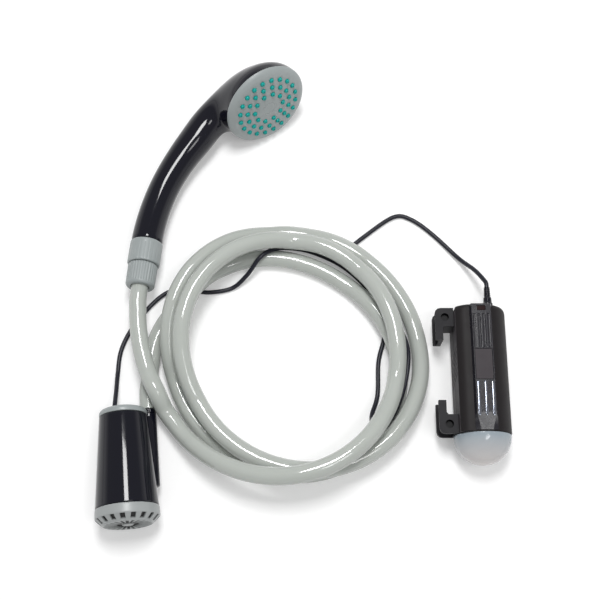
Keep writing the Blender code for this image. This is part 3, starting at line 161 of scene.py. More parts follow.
def evenPath(points, spacing):
    # The same path with points at even distances
    reach = pathLength(points)
    goals = np.linspace(0, reach[-1], max(2, round(reach[-1] / spacing)) + 1)
    return np.stack([np.interp(goals, reach, points[:, axis]) for axis in range(points.shape[1])], axis=1)


def softened(rows, width):
    # Each row becomes the mean of its neighbours, weighted by a bell curve that narrows towards both ends
    count = len(rows)
    number = np.arange(count)
    fromEnd = np.minimum(number, count - 1 - number)
    bell = np.minimum(width, 0.3 + 0.45 * fromEnd)[:, None]
    weight = np.exp(-0.5 * ((number[:, None] - number[None, :]) / bell) ** 2)
    return weight @ rows / weight.sum(axis=1, keepdims=True)


def rounded(corners, fillet, steps=5):
    # A profile whose inner corners are replaced by parabolas that leave each side at the fillet's length
    corners = np.asarray(corners, float)
    before, corner, after = corners[:-2], corners[1:-1], corners[2:]
    lengthIn = np.linalg.norm(before - corner, axis=1, keepdims=True)
    lengthOut = np.linalg.norm(after - corner, axis=1, keepdims=True)
    start = corner + (before - corner) / lengthIn * np.minimum(fillet, 0.45 * lengthIn)
    end = corner + (after - corner) / lengthOut * np.minimum(fillet, 0.45 * lengthOut)
    share = np.linspace(0, 1, steps + 1)[None, :, None]
    start, corner, end = start[:, None], corner[:, None], end[:, None]
    bends = start * (1 - share) ** 2 + 2 * corner * share * (1 - share) + end * share ** 2
    return np.concatenate((corners[:1], bends.reshape(-1, 2), corners[-1:]))


def turnedMesh(name, profile, matrix, sides, wave=None):
    # A profile of (radius, height) turned about local Z. wave(angle, radius, height) changes the radius.
    line = np.asarray(profile, float)
    angle = np.linspace(0, math.tau, sides + 1)[None, :]
    radius, height = line[:, 0:1], line[:, 1:2]
    if wave:
        radius = radius + wave(angle, radius, height)
    return ringMesh(name, matrix, *polar(radius, angle), height)


def tubeMesh(name, path, radius, sides):
    # A circle carried along the path: each ring lies across the path's direction there
    ahead = directions(path)
    side = np.cross(ahead, (0, 0, 1))
    side /= np.linalg.norm(side, axis=1, keepdims=True)
    over = np.cross(side, ahead)
    angle = np.linspace(0, math.tau, sides + 1)[None, :, None]
    widths = np.broadcast_to(np.asarray(radius, float).reshape(-1, 1, 1), (len(path), 1, 1))
    points = path[:, None] + widths * (side[:, None] * np.cos(angle) + over[:, None] * np.sin(angle))
    points[:, -1] = points[:, 0]
    return gridMesh(name, points, 50.0, (pathLength(path), np.linspace(0, 1, sides + 1)))


def bump(value, low, high, edge):
    # 1 between low and high, 0 outside, with soft steps of an edge's width
    rise = np.clip((value - low) / edge + 0.5, 0, 1)
    fall = np.clip((high - value) / edge + 0.5, 0, 1)
    return (rise * rise * (3 - 2 * rise)) * (fall * fall * (3 - 2 * fall))


# Shader nodes

def addNode(tree, kind, settings=None, **inputs):
    # A node with its settings. Each input, by its name or as i and its place, is a value or a socket.
    node = tree.nodes.new("ShaderNode" + kind)
    for key, value in (settings or {}).items():
        setattr(node, key, value)
    for key, value in inputs.items():
        socket = node.inputs[int(key[1:]) if key[1:].isdigit() else key.replace("_", " ")]
        if isinstance(value, bpy.types.NodeSocket):
            tree.links.new(value, socket)
        else:
            socket.default_value = value
    return node


def combined(tree, operation, *values, clamp=False):
    inputs = {f"i{place}": value for place, value in enumerate(values)}
    return addNode(tree, "Math", {"operation": operation, "use_clamp": clamp}, **inputs).outputs[0]


def remapped(tree, value, low, high, toLow=0.0, toHigh=1.0):
    # What is low becomes toLow, and what is high becomes toHigh
    node = addNode(tree, "MapRange", Value=value, From_Min=low, From_Max=high, To_Min=toLow, To_Max=toHigh)
    return node.outputs[0]


def blended(tree, share, first, second):
    # From the first colour to the second
    return addNode(tree, "Mix", {"data_type": "RGBA"}, i0=share, i6=first, i7=second).outputs[2]


def noise(tree, vector, scale, detail, **inputs):
    return addNode(tree, "TexNoise", Vector=vector, Scale=scale, Detail=detail, **inputs).outputs["Fac"]


def stretched(tree, vector, scale, turn=(0.0, 0.0, 0.0)):
    return addNode(tree, "Mapping", Vector=vector, Rotation=turn, Scale=scale).outputs[0]


def nodeGroup(name, values, outputs):
    # A group with a place, numbers that a material may change, and outputs that are numbers
    group = bpy.data.node_groups.new(name, "ShaderNodeTree")
    group.interface.new_socket("Vector", in_out="INPUT", socket_type="NodeSocketVector")
    for title, value in values.items():
        group.interface.new_socket(title, in_out="INPUT", socket_type="NodeSocketFloat").default_value = value
    for title in outputs:
        group.interface.new_socket(title, in_out="OUTPUT", socket_type="NodeSocketFloat")
    return group, group.nodes.new("NodeGroupInput").outputs, group.nodes.new("NodeGroupOutput").inputs


def buildMouldGroup():
    # Moulded plastic: a fine grain, slow waves of the wall and a tone that drifts a little
    values = {"Grain Scale": 2600.0, "Grain": 0.3, "Wave": 0.3}
    group, given, put = nodeGroup("mouldedSkin", values, ("Height", "Tone"))
    place = given["Vector"]
    grain = combined(group, "MULTIPLY", noise(group, place, given["Grain Scale"], 2.0), given["Grain"])
    wave = combined(group, "MULTIPLY", noise(group, place, 55.0, 1.0), given["Wave"])
    group.links.new(combined(group, "ADD", grain, wave), put["Height"])
    group.links.new(noise(group, place, 32.0, 4.0, Roughness=0.6), put["Tone"])
    return group


def buildHandlingGroup():
    # Use: a mask of smears where hands have been, and one of fine hair scratches
    group, given, put = nodeGroup("handlingMarks", {"Smear": 0.5, "Scratch": 0.4}, ("Mask", "Scratches"))
    smears = noise(group, given["Vector"], 70.0, 6.0, Roughness=0.65, Distortion=0.8)
    hairs = noise(group, stretched(group, given["Vector"], (1.0, 14.0, 3.0), (0.3, 0.5, 0.9)), 180.0, 3.0)
    for value, low, high, strength, title in ((smears, 0.45, 0.7, "Smear", "Mask"),
                                              (hairs, 0.66, 0.74, "Scratch", "Scratches")):
        mask = combined(group, "MULTIPLY", remapped(group, value, low, high), given[strength], clamp=True)
        group.links.new(mask, put[title])
    return group


mouldGroup = buildMouldGroup()
handlingGroup = buildHandlingGroup()

# What the details below use: linear colours of painted light and shade, which also darken seams, and the two
# depths between which the dome's painted shade fades

ownTones = {"domeTip": (0.60, 0.57, 0.56, 1), "domeFade": (-0.1250, -0.1450),
            "shadeAndSeam": (0.010, 0.0095, 0.010, 1), "gripWallReflection": (0.060, 0.054, 0.060, 1)}


def hoseDetail(tree, place, tone, height):
    # Extruded tube: faint lines along its length, on the UV map
    surface = addNode(tree, "UVMap", {"uv_map": "surface"})
    lines = noise(tree, stretched(tree, surface.outputs[0], (40.0, 6.0, 1.0)), 1.0, 2.0)
    return tone, combined(tree, "MULTIPLY_ADD", lines, 0.5, height)


def domeShadeDetail(tree, place, tone, height):
    # Painted shade: bluish grey next to the case, where the dark case shows through the frosted wall, turning
    # whiter and warmer towards the lit tip
    share = remapped(tree, addNode(tree, "SeparateXYZ", Vector=place).outputs["Y"], *ownTones["domeFade"])
    return blended(tree, share, tone, ownTones["domeTip"]), height


def shadeAndReflectionDetail(tree, place, tone, height):
    # Painted shade darkens openings, slots and grooves, seams are dark, and a lighter tone paints the floor's
    # reflection on the pack's grip wall
    surface = addNode(tree, "UVMap", {"uv_map": "marks"})
    masks = addNode(tree, "SeparateXYZ", Vector=surface.outputs[0]).outputs
    wall = blended(tree, masks["Y"], tone, ownTones["gripWallReflection"])
    return blended(tree, masks["X"], wall, ownTones["shadeAndSeam"]), height


# Finishes by material slot, and four of the pieces' own: two near tones in linear colours, the roughness and
# how far marks change it, the shader's own values, and where the skin differs from the plain one

plainSkin = {"grain": 0.3, "grainScale": 2600.0, "wave": 0.3, "smear": 0.5, "scratch": 0.3, "depth": 0.00004,
             "detail": None}
finishes = {
    "gloss_black_plastic": ((0.0036, 0.0040, 0.0090), (0.0052, 0.0052, 0.0105), 0.07, 0.07,
                            {"Specular IOR Level": 0.38},
                            {"grain": 0.03, "wave": 0.35, "smear": 0.4, "scratch": 0.4}),
    "satin_dark_plastic": ((0.0062, 0.0058, 0.0080), (0.0085, 0.0078, 0.0105), 0.50, 0.12,
                           {"Specular IOR Level": 0.25},
                           {"grain": 0.7, "grainScale": 3400.0, "depth": 0.00006}),
    "strip_plastic": ((0.0105, 0.0100, 0.0145), (0.0150, 0.0140, 0.0195), 0.24, 0.12,
                      {}, {"grain": 0.6, "grainScale": 3000.0}),
    "light_grey_plastic": ((0.288, 0.318, 0.320), (0.314, 0.343, 0.343), 0.34, 0.10,
                           {}, {"grain": 0.5, "smear": 0.35}),
    "hose_pvc": ((0.412, 0.437, 0.408), (0.450, 0.475, 0.446), 0.075, 0.07,
                 {"Specular IOR Level": 0.65, "Subsurface Weight": 0.06,
                  "Subsurface Radius": (0.004, 0.004, 0.003)},
                 {"grain": 0.06, "wave": 0.45, "smear": 0.35, "scratch": 0.2, "detail": hoseDetail}),
    "cable_rubber": ((0.0085, 0.0095, 0.017), (0.013, 0.0135, 0.022), 0.36, 0.15,
                     {"Specular IOR Level": 0.35}, {"grain": 0.5, "detail": hoseDetail}),
    "black_rubber": ((0.012, 0.012, 0.012), (0.018, 0.018, 0.017), 0.62, 0.15, {}, {"grain": 0.8}),
    "teal_rubber": ((0.0, 0.290, 0.262), (0.0, 0.335, 0.300), 0.26, 0.10, {"Specular IOR Level": 0.30}, {}),
    # These tones are the dome's painted shade next to the case; its lighter tip tone is in ownTones
    "frosted_dome": ((0.292, 0.338, 0.376), (0.320, 0.366, 0.404), 0.12, 0.10,
                     {"Subsurface Weight": 0.25, "Subsurface Radius": (0.006, 0.006, 0.006)},
                     {"grain": 0.2, "detail": domeShadeDetail}),
    "white_plastic": ((0.70, 0.70, 0.68), (0.76, 0.76, 0.74), 0.38, 0.10, {}, {}),
    "light_source": ((0.80, 0.62, 0.12), (0.86, 0.70, 0.20), 0.30, 0.10, {}, {}),
    "circuit_board": ((0.012, 0.13, 0.045), (0.02, 0.17, 0.06), 0.42, 0.15, {}, {"scratch": 0.6}),
    "cell_wrap": ((0.022, 0.10, 0.32), (0.03, 0.13, 0.38), 0.28, 0.15, {}, {}),
    "red_window": ((0.010, 0.0012, 0.0018), (0.016, 0.0018, 0.0025), 0.12, 0.08, {}, {"grain": 0.1}),
    "gloss_rib_plastic": ((0.20, 0.215, 0.255), (0.25, 0.265, 0.305), 0.09, 0.08,
                          {"Metallic": 0.8}, {"grain": 0.05}),
    "bright_steel": ((0.52, 0.52, 0.52), (0.60, 0.60, 0.60), 0.26, 0.15, {"Metallic": 1.0}, {"grain": 0.4}),
    # Near-black steel, a painted shade: the hook screws carry the darkness of the deep wells they sit in
    "blackened_steel": ((0.004, 0.004, 0.005), (0.007, 0.007, 0.008), 0.50, 0.15,
                        {"Specular IOR Level": 0.2}, {"grain": 0.4}),
    "panel_satin": ((0.031, 0.0250, 0.0300), (0.039, 0.0320, 0.0375), 0.50, 0.12,
                    {"Specular IOR Level": 0.3}, {"grain": 0.9, "grainScale": 3800.0}),
    "case_satin": ((0.0080, 0.0062, 0.0070), (0.0104, 0.0080, 0.0090), 0.56, 0.10,
                   {"Specular IOR Level": 0.27},
                   {"grain": 0.7, "grainScale": 3400.0, "depth": 0.00006, "detail": shadeAndReflectionDetail}),
    "strainer_grey": ((0.318, 0.336, 0.338), (0.342, 0.360, 0.360), 0.34, 0.10,
                      {}, {"grain": 0.5, "smear": 0.35, "detail": shadeAndReflectionDetail}),
}


def newMaterial(name):
    material = bpy.data.materials.new(name)
    material.use_nodes = True
    return material, material.node_tree, material.node_tree.nodes["Principled BSDF"]


def finish(slot):
    # A material of two near tones with moulded skin, handling marks and a roughness that varies with them
    colour, other, roughness, spread, values, changes = finishes[slot]
    wanted = plainSkin | changes
    words = slot.split("_")
    material, tree, shader = newMaterial(words[0] + "".join(word.title() for word in words[1:]))
    for key, value in values.items():
        shader.inputs[key].default_value = value
    place = addNode(tree, "TexCoord").outputs["Object"]
    skin = addNode(tree, "Group", {"node_tree": mouldGroup}, Vector=place, Grain_Scale=wanted["grainScale"],
                   Grain=wanted["grain"], Wave=wanted["wave"]).outputs
    marks = addNode(tree, "Group", {"node_tree": handlingGroup}, Vector=place, Smear=wanted["smear"],
                    Scratch=wanted["scratch"]).outputs
    tone, height = blended(tree, skin["Tone"], (*colour, 1), (*other, 1)), skin["Height"]
    if wanted["detail"]:
        tone, height = wanted["detail"](tree, place, tone, height)
    smeared = combined(tree, "MULTIPLY_ADD", marks["Mask"], spread, roughness)
    worn = combined(tree, "MULTIPLY_ADD", marks["Scratches"], spread, smeared)
    relief = addNode(tree, "Bump", Strength=1.0, Distance=wanted["depth"], Height=height)
    for key, socket in (("Base Color", tone), ("Roughness", worn), ("Normal", relief.outputs[0])):
        tree.links.new(socket, shader.inputs[key])
    return material


looks = {slot: finish(slot) for slot in finishes}
# The hook screws are near black as painted shade for their wells
ownFinish = {"hook_screw_upper": "blackened_steel", "hook_screw_lower": "blackened_steel",
             "label_panel": "panel_satin"}
for entry in frame["record"]["subparts"]:
    materials = nodes[entry["node"]].data.materials
    materials.clear()
    materials.append(looks[ownFinish.get(entry["node"], entry["material_slot"])])
print("finishes made:", len(looks))


def dress(piece, body, slot, *replaced, look=None):
    # A finished piece: its material, the body that carries it and the nodes that it stands for
    piece.data.materials.clear()
    piece.data.materials.append(looks[look or slot])
    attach(piece, body)
    if replaced:
        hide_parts(*replaced)
    return piece


# Camera and light

camera = {"place": (-0.0033, -0.2632, 0.7989), "pitch": 18.0, "lens": 60.0, "sensor": 36.0}
cameraData = bpy.data.cameras.new("camera")
cameraData.lens = camera["lens"]
cameraData.sensor_width = camera["sensor"]
cameraObject = placed("camera", cameraData)
cameraObject.location = camera["place"]
cameraObject.rotation_euler = (math.radians(camera["pitch"]), 0, 0)
bpy.context.scene.camera = cameraObject
bpy.context.scene.view_settings.view_transform = "Standard"

# Routes of the hose and the cable. Rows of points are in millimetres, and so are the loops' sizes, whose
# angles are in degrees. Every other length is in metres.

cords = {
    "hoseRadius": 0.0070,
    "cableRadius": 0.00185,
    "gap": 0.0003,
    "loopCentre": (-0.008, -0.050),
    "loopAngles": (210, 1230, 5),
    "loops": ((94, -20.5, -6, -4, -5), (96, 12.5, 2, 1, -1), (103.5, 1, 4, -3.5, -6),
              (73.5, -12, 1.5, 6.5, -9.5)),
    "loopLead": 6,
    "pileGap": 0.0022,
    "pilePasses": 6,
    "humpRadius": 0.120,
    "strandApart": 0.060,
    "routeSteps": 8,
    "hoseStart": 0.0050,
    "outletEnd": 0.0780,
    "outletSide": 0.0190,
    "outletDrop": 0.0095,
    "glandEnd": 0.0776,
    "glandSide": 0.0065,
    "handsetRun": ((-132.3, -12, 22), (-130.8, -31, 22.5), (-127, -50, 22.5), (-121.5, -67.5, 23),
                   (-113, -85, 24.5)),
    "pumpRun": ((-103, -10.5, 7.6), (-113, -25, 7.2), (-119.5, -42, 7.1), (-121.5, -59, 7.2),
                (-122.2, -77, 8.7)),
    "cableRoute": (
        (-148, -79, 10), (-149, -64, 2.5), (-147, -43, 2), (-136.5, -21, 2), (-117, 2, 2),
        (-100.5, 8.5, 2), (-77, 6, 2), (-57.5, 9.5, 2), (-44.5, 19, 8.4), (-33, 32, 17.4),
        (-21.5, 40.5, 13.5), (-6.5, 44.5, 4.8), (11.5, 41.5, 2), (35.5, 29.5, 2), (55, 11, 2),
        (68, -12, 2), (70, -31, 2), (64.5, -54, 2), (63, -82, 2),
        (57.5, -100.5, 7), (59, -112.5, 16), (65.5, -111.5, 16.6), (75.6, -98.7, 15.8), (84.5, -74.5, 16),
        (87.8, -49, 14.4), (84.2, -28, 4), (78.5, -8, 2), (61.5, 17, 2), (41.5, 34.5, 2), (41, 43.5, 2),
        (59, 59.5, 2), (81, 74.5, 2), (95.5, 72, 2), (113.5, 58, 2), (134, 35.5, 5), (145.5, 20, 17)),
}


def layoutPoints(listed):
    return np.array(listed, float) * 0.001 + np.array(layout["shift"])


def framePoint(matrix, along, side=0.0, up=0.0):
    return np.array(matrix @ Vector((side, up, along)))


def openRoute(knots):
    # The smooth route between the second knot and the last but one
    steps = cords["routeSteps"]
    return smoothPath(np.array(knots), steps)[steps:-steps]


def loopPlan():
    # The loops from above: at each angle, the ring between the one before and the one after
    first, last, step = cords["loopAngles"]
    angle = np.radians(np.arange(first, last + step, step))
    turn = (angle - angle[0]) / math.tau
    waves = (np.ones_like(angle), np.cos(angle), np.sin(angle), np.cos(2 * angle), np.sin(2 * angle))
    radius = np.zeros_like(angle)
    for wave, sizes in zip(waves, zip(*cords["loops"])):
        radius += wave * np.interp(turn, range(len(cords["loops"])), sizes) * 0.001
    centre = np.add(cords["loopCentre"], layout["shift"][:2])
    return centre + np.column_stack(polar(radius, angle))


def pileHeights(plan, lyingCable):
    # Every point rests on the floor, on the cable or on the strands laid before it, and the stiff hose
    # rounds each support to the hump's radius
    hose, cable = cords["hoseRadius"], cords["cableRadius"]
    reach = pathLength(plan)
    ahead = reach[None, :] - reach[:, None]
    across = np.linalg.norm(plan[:, None] - plan[None, :], axis=2)
    pitch = 2 * hose + cords["pileGap"]
    lift = np.sqrt(np.maximum(pitch ** 2 - across ** 2, 0.0))
    lift[(across > pitch) | (ahead < cords["strandApart"])] = -math.inf
    beside = np.linalg.norm(plan[:, None] - lyingCable[None, :], axis=2).min(axis=1)
    overCable = hose + cable + cords["pileGap"] / 2
    floorHeight = np.maximum(hose, cable + np.sqrt(np.maximum(overCable ** 2 - beside ** 2, 0.0)))
    heights = floorHeight
    for _ in range(cords["pilePasses"]):
        support = np.maximum(floorHeight, (heights[None, :] + lift).max(axis=1))
        heights = (support[None, :] - ahead ** 2 / (2 * cords["humpRadius"])).max(axis=1)
    return heights


def cablePath():
    # From the pump's gland along the route to the plug's strain relief
    straight = 2 * cords["cableRadius"]
    glandZ, side = cords["glandEnd"] + cords["gap"], -cords["glandSide"]
    plugZ = plugSizes["bodyLength"] + plugSizes["reliefLength"] + cords["gap"]
    start, straightOut = framePoint(pumpFrame, -glandZ, side), framePoint(pumpFrame, -glandZ - straight, side)
    end, straightIn = framePoint(plugFrame, -plugZ), framePoint(plugFrame, -plugZ - straight)
    route = openRoute([start, straightOut, *layoutPoints(cords["cableRoute"]), straightIn, end])
    route[:, 2] = np.maximum(route[:, 2], cords["cableRadius"] + cords["gap"] / 2)
    return np.concatenate(([start], route, [end]))


def hosePath(cable):
    # From inside the handset's nut through the loops to the pump's outlet
    straight = 2 * cords["hoseRadius"]
    outlet, side, drop = cords["outletEnd"] + cords["gap"], cords["outletSide"], -cords["outletDrop"]
    start = framePoint(handsetFrame, -cords["hoseStart"])
    straightOut = framePoint(handsetFrame, straight - cords["hoseStart"])
    end = framePoint(pumpFrame, -outlet, side, drop)
    straightIn = framePoint(pumpFrame, -outlet - straight, side, drop)
    plan = loopPlan()
    dense = evenPath(cable, cords["cableRadius"])
    lying = dense[dense[:, 2] < 2 * cords["cableRadius"]][:, :2]
    loops = np.column_stack((plan, pileHeights(plan, lying)))
    lead = cords["loopLead"]
    first = openRoute([start, straightOut, *layoutPoints(cords["handsetRun"]), loops[0], loops[lead]])
    last = openRoute([loops[-1 - lead], loops[-1], *layoutPoints(cords["pumpRun"]), straightIn, end])
    return np.concatenate(([start], first[:-1], loops, last[1:], [end]))


handsetFrame = unitFrame(layout["handsetPlace"], layout["handsetTurn"], 90 + layout["handsetTilt"],
                         layout["handsetRoll"])
headLocal = (Matrix.Translation((layout["headReach"], 0, -layout["headRise"]))
             @ Matrix.Rotation(math.radians(layout["headTurn"]), 4, "Y"))
headFrame = handsetFrame @ headLocal
pumpSizes = {
    "length": 0.0720, "foot": 0.0243, "top": 0.0189, "tube": 0.0058, "tubeSide": 0.0190, "tubeDrop": 0.0095,
    "tubeTop": 0.0745, "tubeFoot": 0.0120, "tubeFade": 0.010, "web": 0.0010, "rimSoft": 0.0006,
    "capThickness": 0.0050, "capBevel": 0.0024, "boss": 0.0050, "bossHeight": 0.0010, "wall": 0.0022,
    "gap": 0.0003,
}
pumpTaper = math.degrees(math.atan2(pumpSizes["foot"] - pumpSizes["top"], pumpSizes["length"]))
pumpFrame = unitFrame(layout["pumpPlace"], layout["pumpTurn"], 90 - pumpTaper)
packFrame = unitFrame(layout["packPlace"], 0, 90)
packSizes = {
    "radius": 0.0228, "left": 0.0194, "top": 0.0212, "squareness": 0.70, "start": 0.0006, "length": 0.1016,
    "wall": 0.0020, "landSoft": 0.0008, "shoulder": 0.0045, "shoulderInset": 0.0027, "rimSoft": 0.0004,
    "endWall": 0.0025, "endInset": 0.0002, "endSplit": 0.0012, "buttonHole": (-0.0080, 0.0, 0.0053),
    "jackHole": (0.0099, 0.0018, 0.0048), "gap": 0.0003,
}
packEnd = packSizes["start"] + packSizes["length"]
plugSizes = {
    "bodyLength": 0.0110, "bodyRadius": 0.0040, "front": 0.0006, "gripEnd": 0.0061, "stepEnd": 0.0066,
    "stepRadius": 0.00344, "tailRadius": 0.00328, "reliefLength": 0.0085, "reliefWall": 0.00065,
    "reliefTaper": 0.0003, "ribs": 5, "ribDepth": 0.00040,
}
plugFrame = packFrame @ Matrix.Translation((*packSizes["jackHole"][:2], -packEnd - packSizes["gap"]))

cableLine = evenPath(smoothPath(evenPath(cablePath(), 0.004), 2), 0.0022)
hoseLine = evenPath(smoothPath(evenPath(hosePath(cablePath()), 0.008), 4), 0.0028)


def makeHose():
    hose = tubeMesh("hose", hoseLine, cords["hoseRadius"], 28)
    dress(hose, "base", "hose_pvc", "hose_handset_run", "hose_coil", "hose_pump_run")


def makePlug():
    # The plug's body with a step and a ribbed strain relief: rings that pull in between the ribs
    sizes = plugSizes
    radius, length, reliefLength = sizes["bodyRadius"], sizes["bodyLength"], sizes["reliefLength"]
    reach = np.linspace(0, reliefLength, 90)
    slim = cords["cableRadius"] + sizes["reliefWall"] + sizes["reliefTaper"] * (1 - reach / reliefLength)
    between = 0.5 - 0.5 * np.cos(math.tau * sizes["ribs"] * reach / reliefLength)
    ribs = np.maximum(slim - sizes["ribDepth"] * between ** 2, cords["cableRadius"] + 0.0001)
    relief = np.column_stack((ribs, -length - reach))
    corners = ((0.0, -sizes["front"]), (radius, -sizes["front"]), (radius, -sizes["gripEnd"]),
               (sizes["stepRadius"], -sizes["stepEnd"]), (sizes["tailRadius"], -length + 0.0002), relief[0])
    profile = np.concatenate((rounded(corners, 0.0006), relief, [(0.0, relief[-1, 1])]))
    return dress(turnedMesh("plugBody", profile, plugFrame, 48), "plug", "gloss_black_plastic", "plug_body")


def makeCable(plug):
    cable = tubeMesh("cable", cableLine, cords["cableRadius"], 16)
    dress(cable, "base", "cable_rubber", "power_cable")


makeHose()
makeCable(makePlug())

# Handset. The rows of its route and of its head are in millimetres, the rest in metres.

handset = {
    "nutLength": 0.0192, "nutRadius": 0.01225, "nutLip": 0.0109, "nutMouth": 0.0074, "nutBevel": 0.0003,
    "nutLipHeight": 0.0016, "nutRim": 0.0006, "nutFillet": 0.0007, "nutSeam": 0.0030,
    "shoulder": 0.0080, "thread": 0.0104, "flutes": 30, "fluteDepth": 0.00042, "fluteShare": 0.50,
    "fluteLow": 0.0010, "fluteHigh": 0.0024, "fluteRamp": 0.0012,
    "collarLength": 0.0200, "collarRadius": 0.0135, "collarGap": 0.0005, "collarBore": 0.0062,
    "collarMouth": 0.0103, "spigotRadius": 0.0099, "spigotEnd": 0.0140, "collarFlutes": 22,
    "collarFluteDepth": 0.00020, "collarFluteShare": 0.20, "fluteInner": 0.0095,
    "collarFluteLow": 0.0030, "collarFluteHigh": 0.0004, "collarFluteRamp": 0.0016,
    "collarBevel": 0.0006, "collarBevelHeight": 0.0011, "collarFillet": 0.0006,
    "radius": 0.0130, "waist": 0.0004, "flare": 0.0016, "softening": 7.0, "startBevel": 0.055, "sides": 128,
    "route": ((0, 40), (0.2, 52.5), (2, 67.5), (5.3, 83), (10, 98), (16.7, 113), (25, 128), (34, 141)),
    "head": (((-54.2, 36.6), (-48.2, 7.8), 14.7), ((-41.5, 38.4), (-44.2, 8.6), 15.2),
             ((-28.5, 39), (-41.8, 8.8), 17.4), ((-14.5, 37.8), (-40, 8.4), 21.4),
             ((-0.5, 34.8), (-38.9, 7.4), 25.8), ((12.5, 30), (-38.2, 6.2), 29.6),
             ((24, 23.6), (-37.7, 4.8), 32.8), ((31.6, 16.8), (-37.4, 3.6), 35.2),
             ((36, 9.4), (-37.2, 2.4), 36.6), ((37.2, 1), (-37.2, 1), 37.2)),
}


def flutes(count, depth, share, low, high, edge):
    # Narrow grooves at even angles, as deep as a cosine's power, between two heights
    def wave(angle, radius, height):
        groove = (0.5 + 0.5 * np.cos(angle * count)) ** (1 / share)
        return -depth * groove * bump(height, low, high, edge) * (radius > handset["fluteInner"])
    return wave


def makeNut():
    # A turned profile: lip, fluted grip, thread and the shoulder that holds the hose's tail
    sizes = handset
    mouth, lip, radius, thread = sizes["nutMouth"], sizes["nutLip"], sizes["nutRadius"], sizes["thread"]
    end, shoulder, bevel = -sizes["nutLength"], -sizes["shoulder"], sizes["nutBevel"]
    seam = (mouth, -sizes["nutSeam"])
    corners = (seam, (mouth, 0.0), (lip, 0.0), (radius - bevel, -sizes["nutLipHeight"]),
               (radius, end + sizes["nutRim"]), (radius - bevel, end), (thread, end), (thread, shoulder),
               (mouth, shoulder), seam)
    profile = evenPath(rounded(corners, sizes["nutFillet"], 4), 0.0004)
    wave = flutes(sizes["flutes"], sizes["fluteDepth"], sizes["fluteShare"], end - sizes["fluteLow"],
                  -sizes["fluteHigh"], sizes["fluteRamp"])
    dress(turnedMesh("hoseNut", profile, handsetFrame, 480, wave), "nut", "light_grey_plastic", "hose_nut")


def makeCollar():
    # A turned profile: the spigot in the nut, the fluted collar and the waterway through both
    sizes = handset
    bore, spigot, tip = sizes["collarBore"], sizes["spigotRadius"], -sizes["spigotEnd"]
    radius, mouth = sizes["collarRadius"], sizes["collarMouth"]
    start = -sizes["nutLength"] - sizes["collarGap"]
    end = start - sizes["collarLength"]
    corners = ((bore, tip), (spigot, tip), (spigot, start), (radius - sizes["collarBevel"], start),
               (radius, start - sizes["collarBevelHeight"]), (radius, end), (mouth, end), (bore, end),
               (bore, tip))
    profile = evenPath(rounded(corners, sizes["collarFillet"], 4), 0.0005)
    wave = flutes(sizes["collarFlutes"], sizes["collarFluteDepth"], sizes["collarFluteShare"],
                  end + sizes["collarFluteLow"], start - sizes["collarFluteHigh"], sizes["collarFluteRamp"])
    collar = turnedMesh("handsetCollar", profile, handsetFrame, 560, wave)
    dress(collar, "handset", "light_grey_plastic", "handset_collar")


def handsetKnots():
    # Rows of centre, half width across and half width up, along the handle and then up the head
    route = evenPath(smoothPath(np.array(handset["route"], float) * 0.001, 6), 0.0095)
    share = np.linspace(0, 1, len(route))
    radius = handset["radius"] - handset["waist"] * np.sin(math.pi * share) + handset["flare"] * share ** 4
    ahead = directions(route)
    ahead[0] = (0.0, 1.0)
    centre = np.column_stack((route[:, 0], -route[:, 1]))
    across = np.column_stack((-ahead[:, 1], -ahead[:, 0])) * radius[:, None]
    back, front, wide = (np.array(column) * 0.001 for column in zip(*handset["head"]))
    table = np.array(headLocal)
    turn = table[np.ix_((0, 2), (0, 2))]
    place = table[(0, 2), 3]
    backs = np.column_stack((back[:, 0], -back[:, 1])) @ turn.T + place
    fronts = np.column_stack((front[:, 0], -front[:, 1])) @ turn.T + place
    return np.concatenate((np.column_stack((centre, across, radius)),
                           np.column_stack(((backs + fronts) / 2, (backs - fronts) / 2, wide))))


def makeHandsetShell():
    # An oval carried along the handle and round into the head: centre + across cos + up sin
    rows = softened(evenPath(smoothPath(handsetKnots(), 16), 0.0011), handset["softening"])
    drawnIn = np.exp(-(np.arange(len(rows)) / 1.2) ** 2)[:, None]
    rows[:, 2:5] *= 1 - handset["startBevel"] * drawnIn
    angle = np.linspace(0, math.tau, handset["sides"] + 1)[None, :]
    x = rows[:, 0:1] + rows[:, 2:3] * np.cos(angle)
    z = rows[:, 1:2] + rows[:, 3:4] * np.cos(angle)
    shell = ringMesh("handsetShell", handsetFrame, x, rows[:, 4:5] * np.sin(angle), z, 50)
    dress(shell, "handset", "gloss_black_plastic", "handset_shell")


makeNut()
makeCollar()
makeHandsetShell()
print("handset made")

# Shower head's face

face = {
    "radius": 0.0375, "height": 0.0066, "crown": 0.0022, "crownShare": 0.8, "back": 0.0007,
    "rim": ((0.89, 0.54), (0.95, 0.36), (0.99, 0.14)),
    "rows": ((10, 0.0138, 14.5), (15, 0.0206, 8.5), (20, 0.0274, 5.5)),
    "rimBevel": 0.0006, "rimFillet": 0.0015, "cap": 0.0056, "capGroove": 0.00035, "capGrooveHalf": 0.0002,
    "capGrooveSoft": 0.0005, "moat": 0.00035, "moatWidth": 0.0004, "moatSoft": 0.0006,
    "nozzle": 0.0020, "standout": 0.0016, "nozzleRoot": 0.0012, "nozzleFillet": 0.0006,
    "nozzleMouth": 0.00045, "nozzleHole": 0.0004, "nozzleHoleDepth": 0.0008,
}


def nozzlePlaces():
    # Every nozzle's place from the rows of count, reach and first angle
    places = []
    for count, reach, phase in face["rows"]:
        angle = math.radians(phase) + math.tau * np.arange(count) / count
        places.append(np.column_stack(polar(reach, angle)))
    return np.concatenate(places)


def faceHeight(radius):
    # A bowl upside down: the height falls with the square of the radius
    return face["height"] - face["crown"] * (radius / (face["crownShare"] * face["radius"])) ** 2


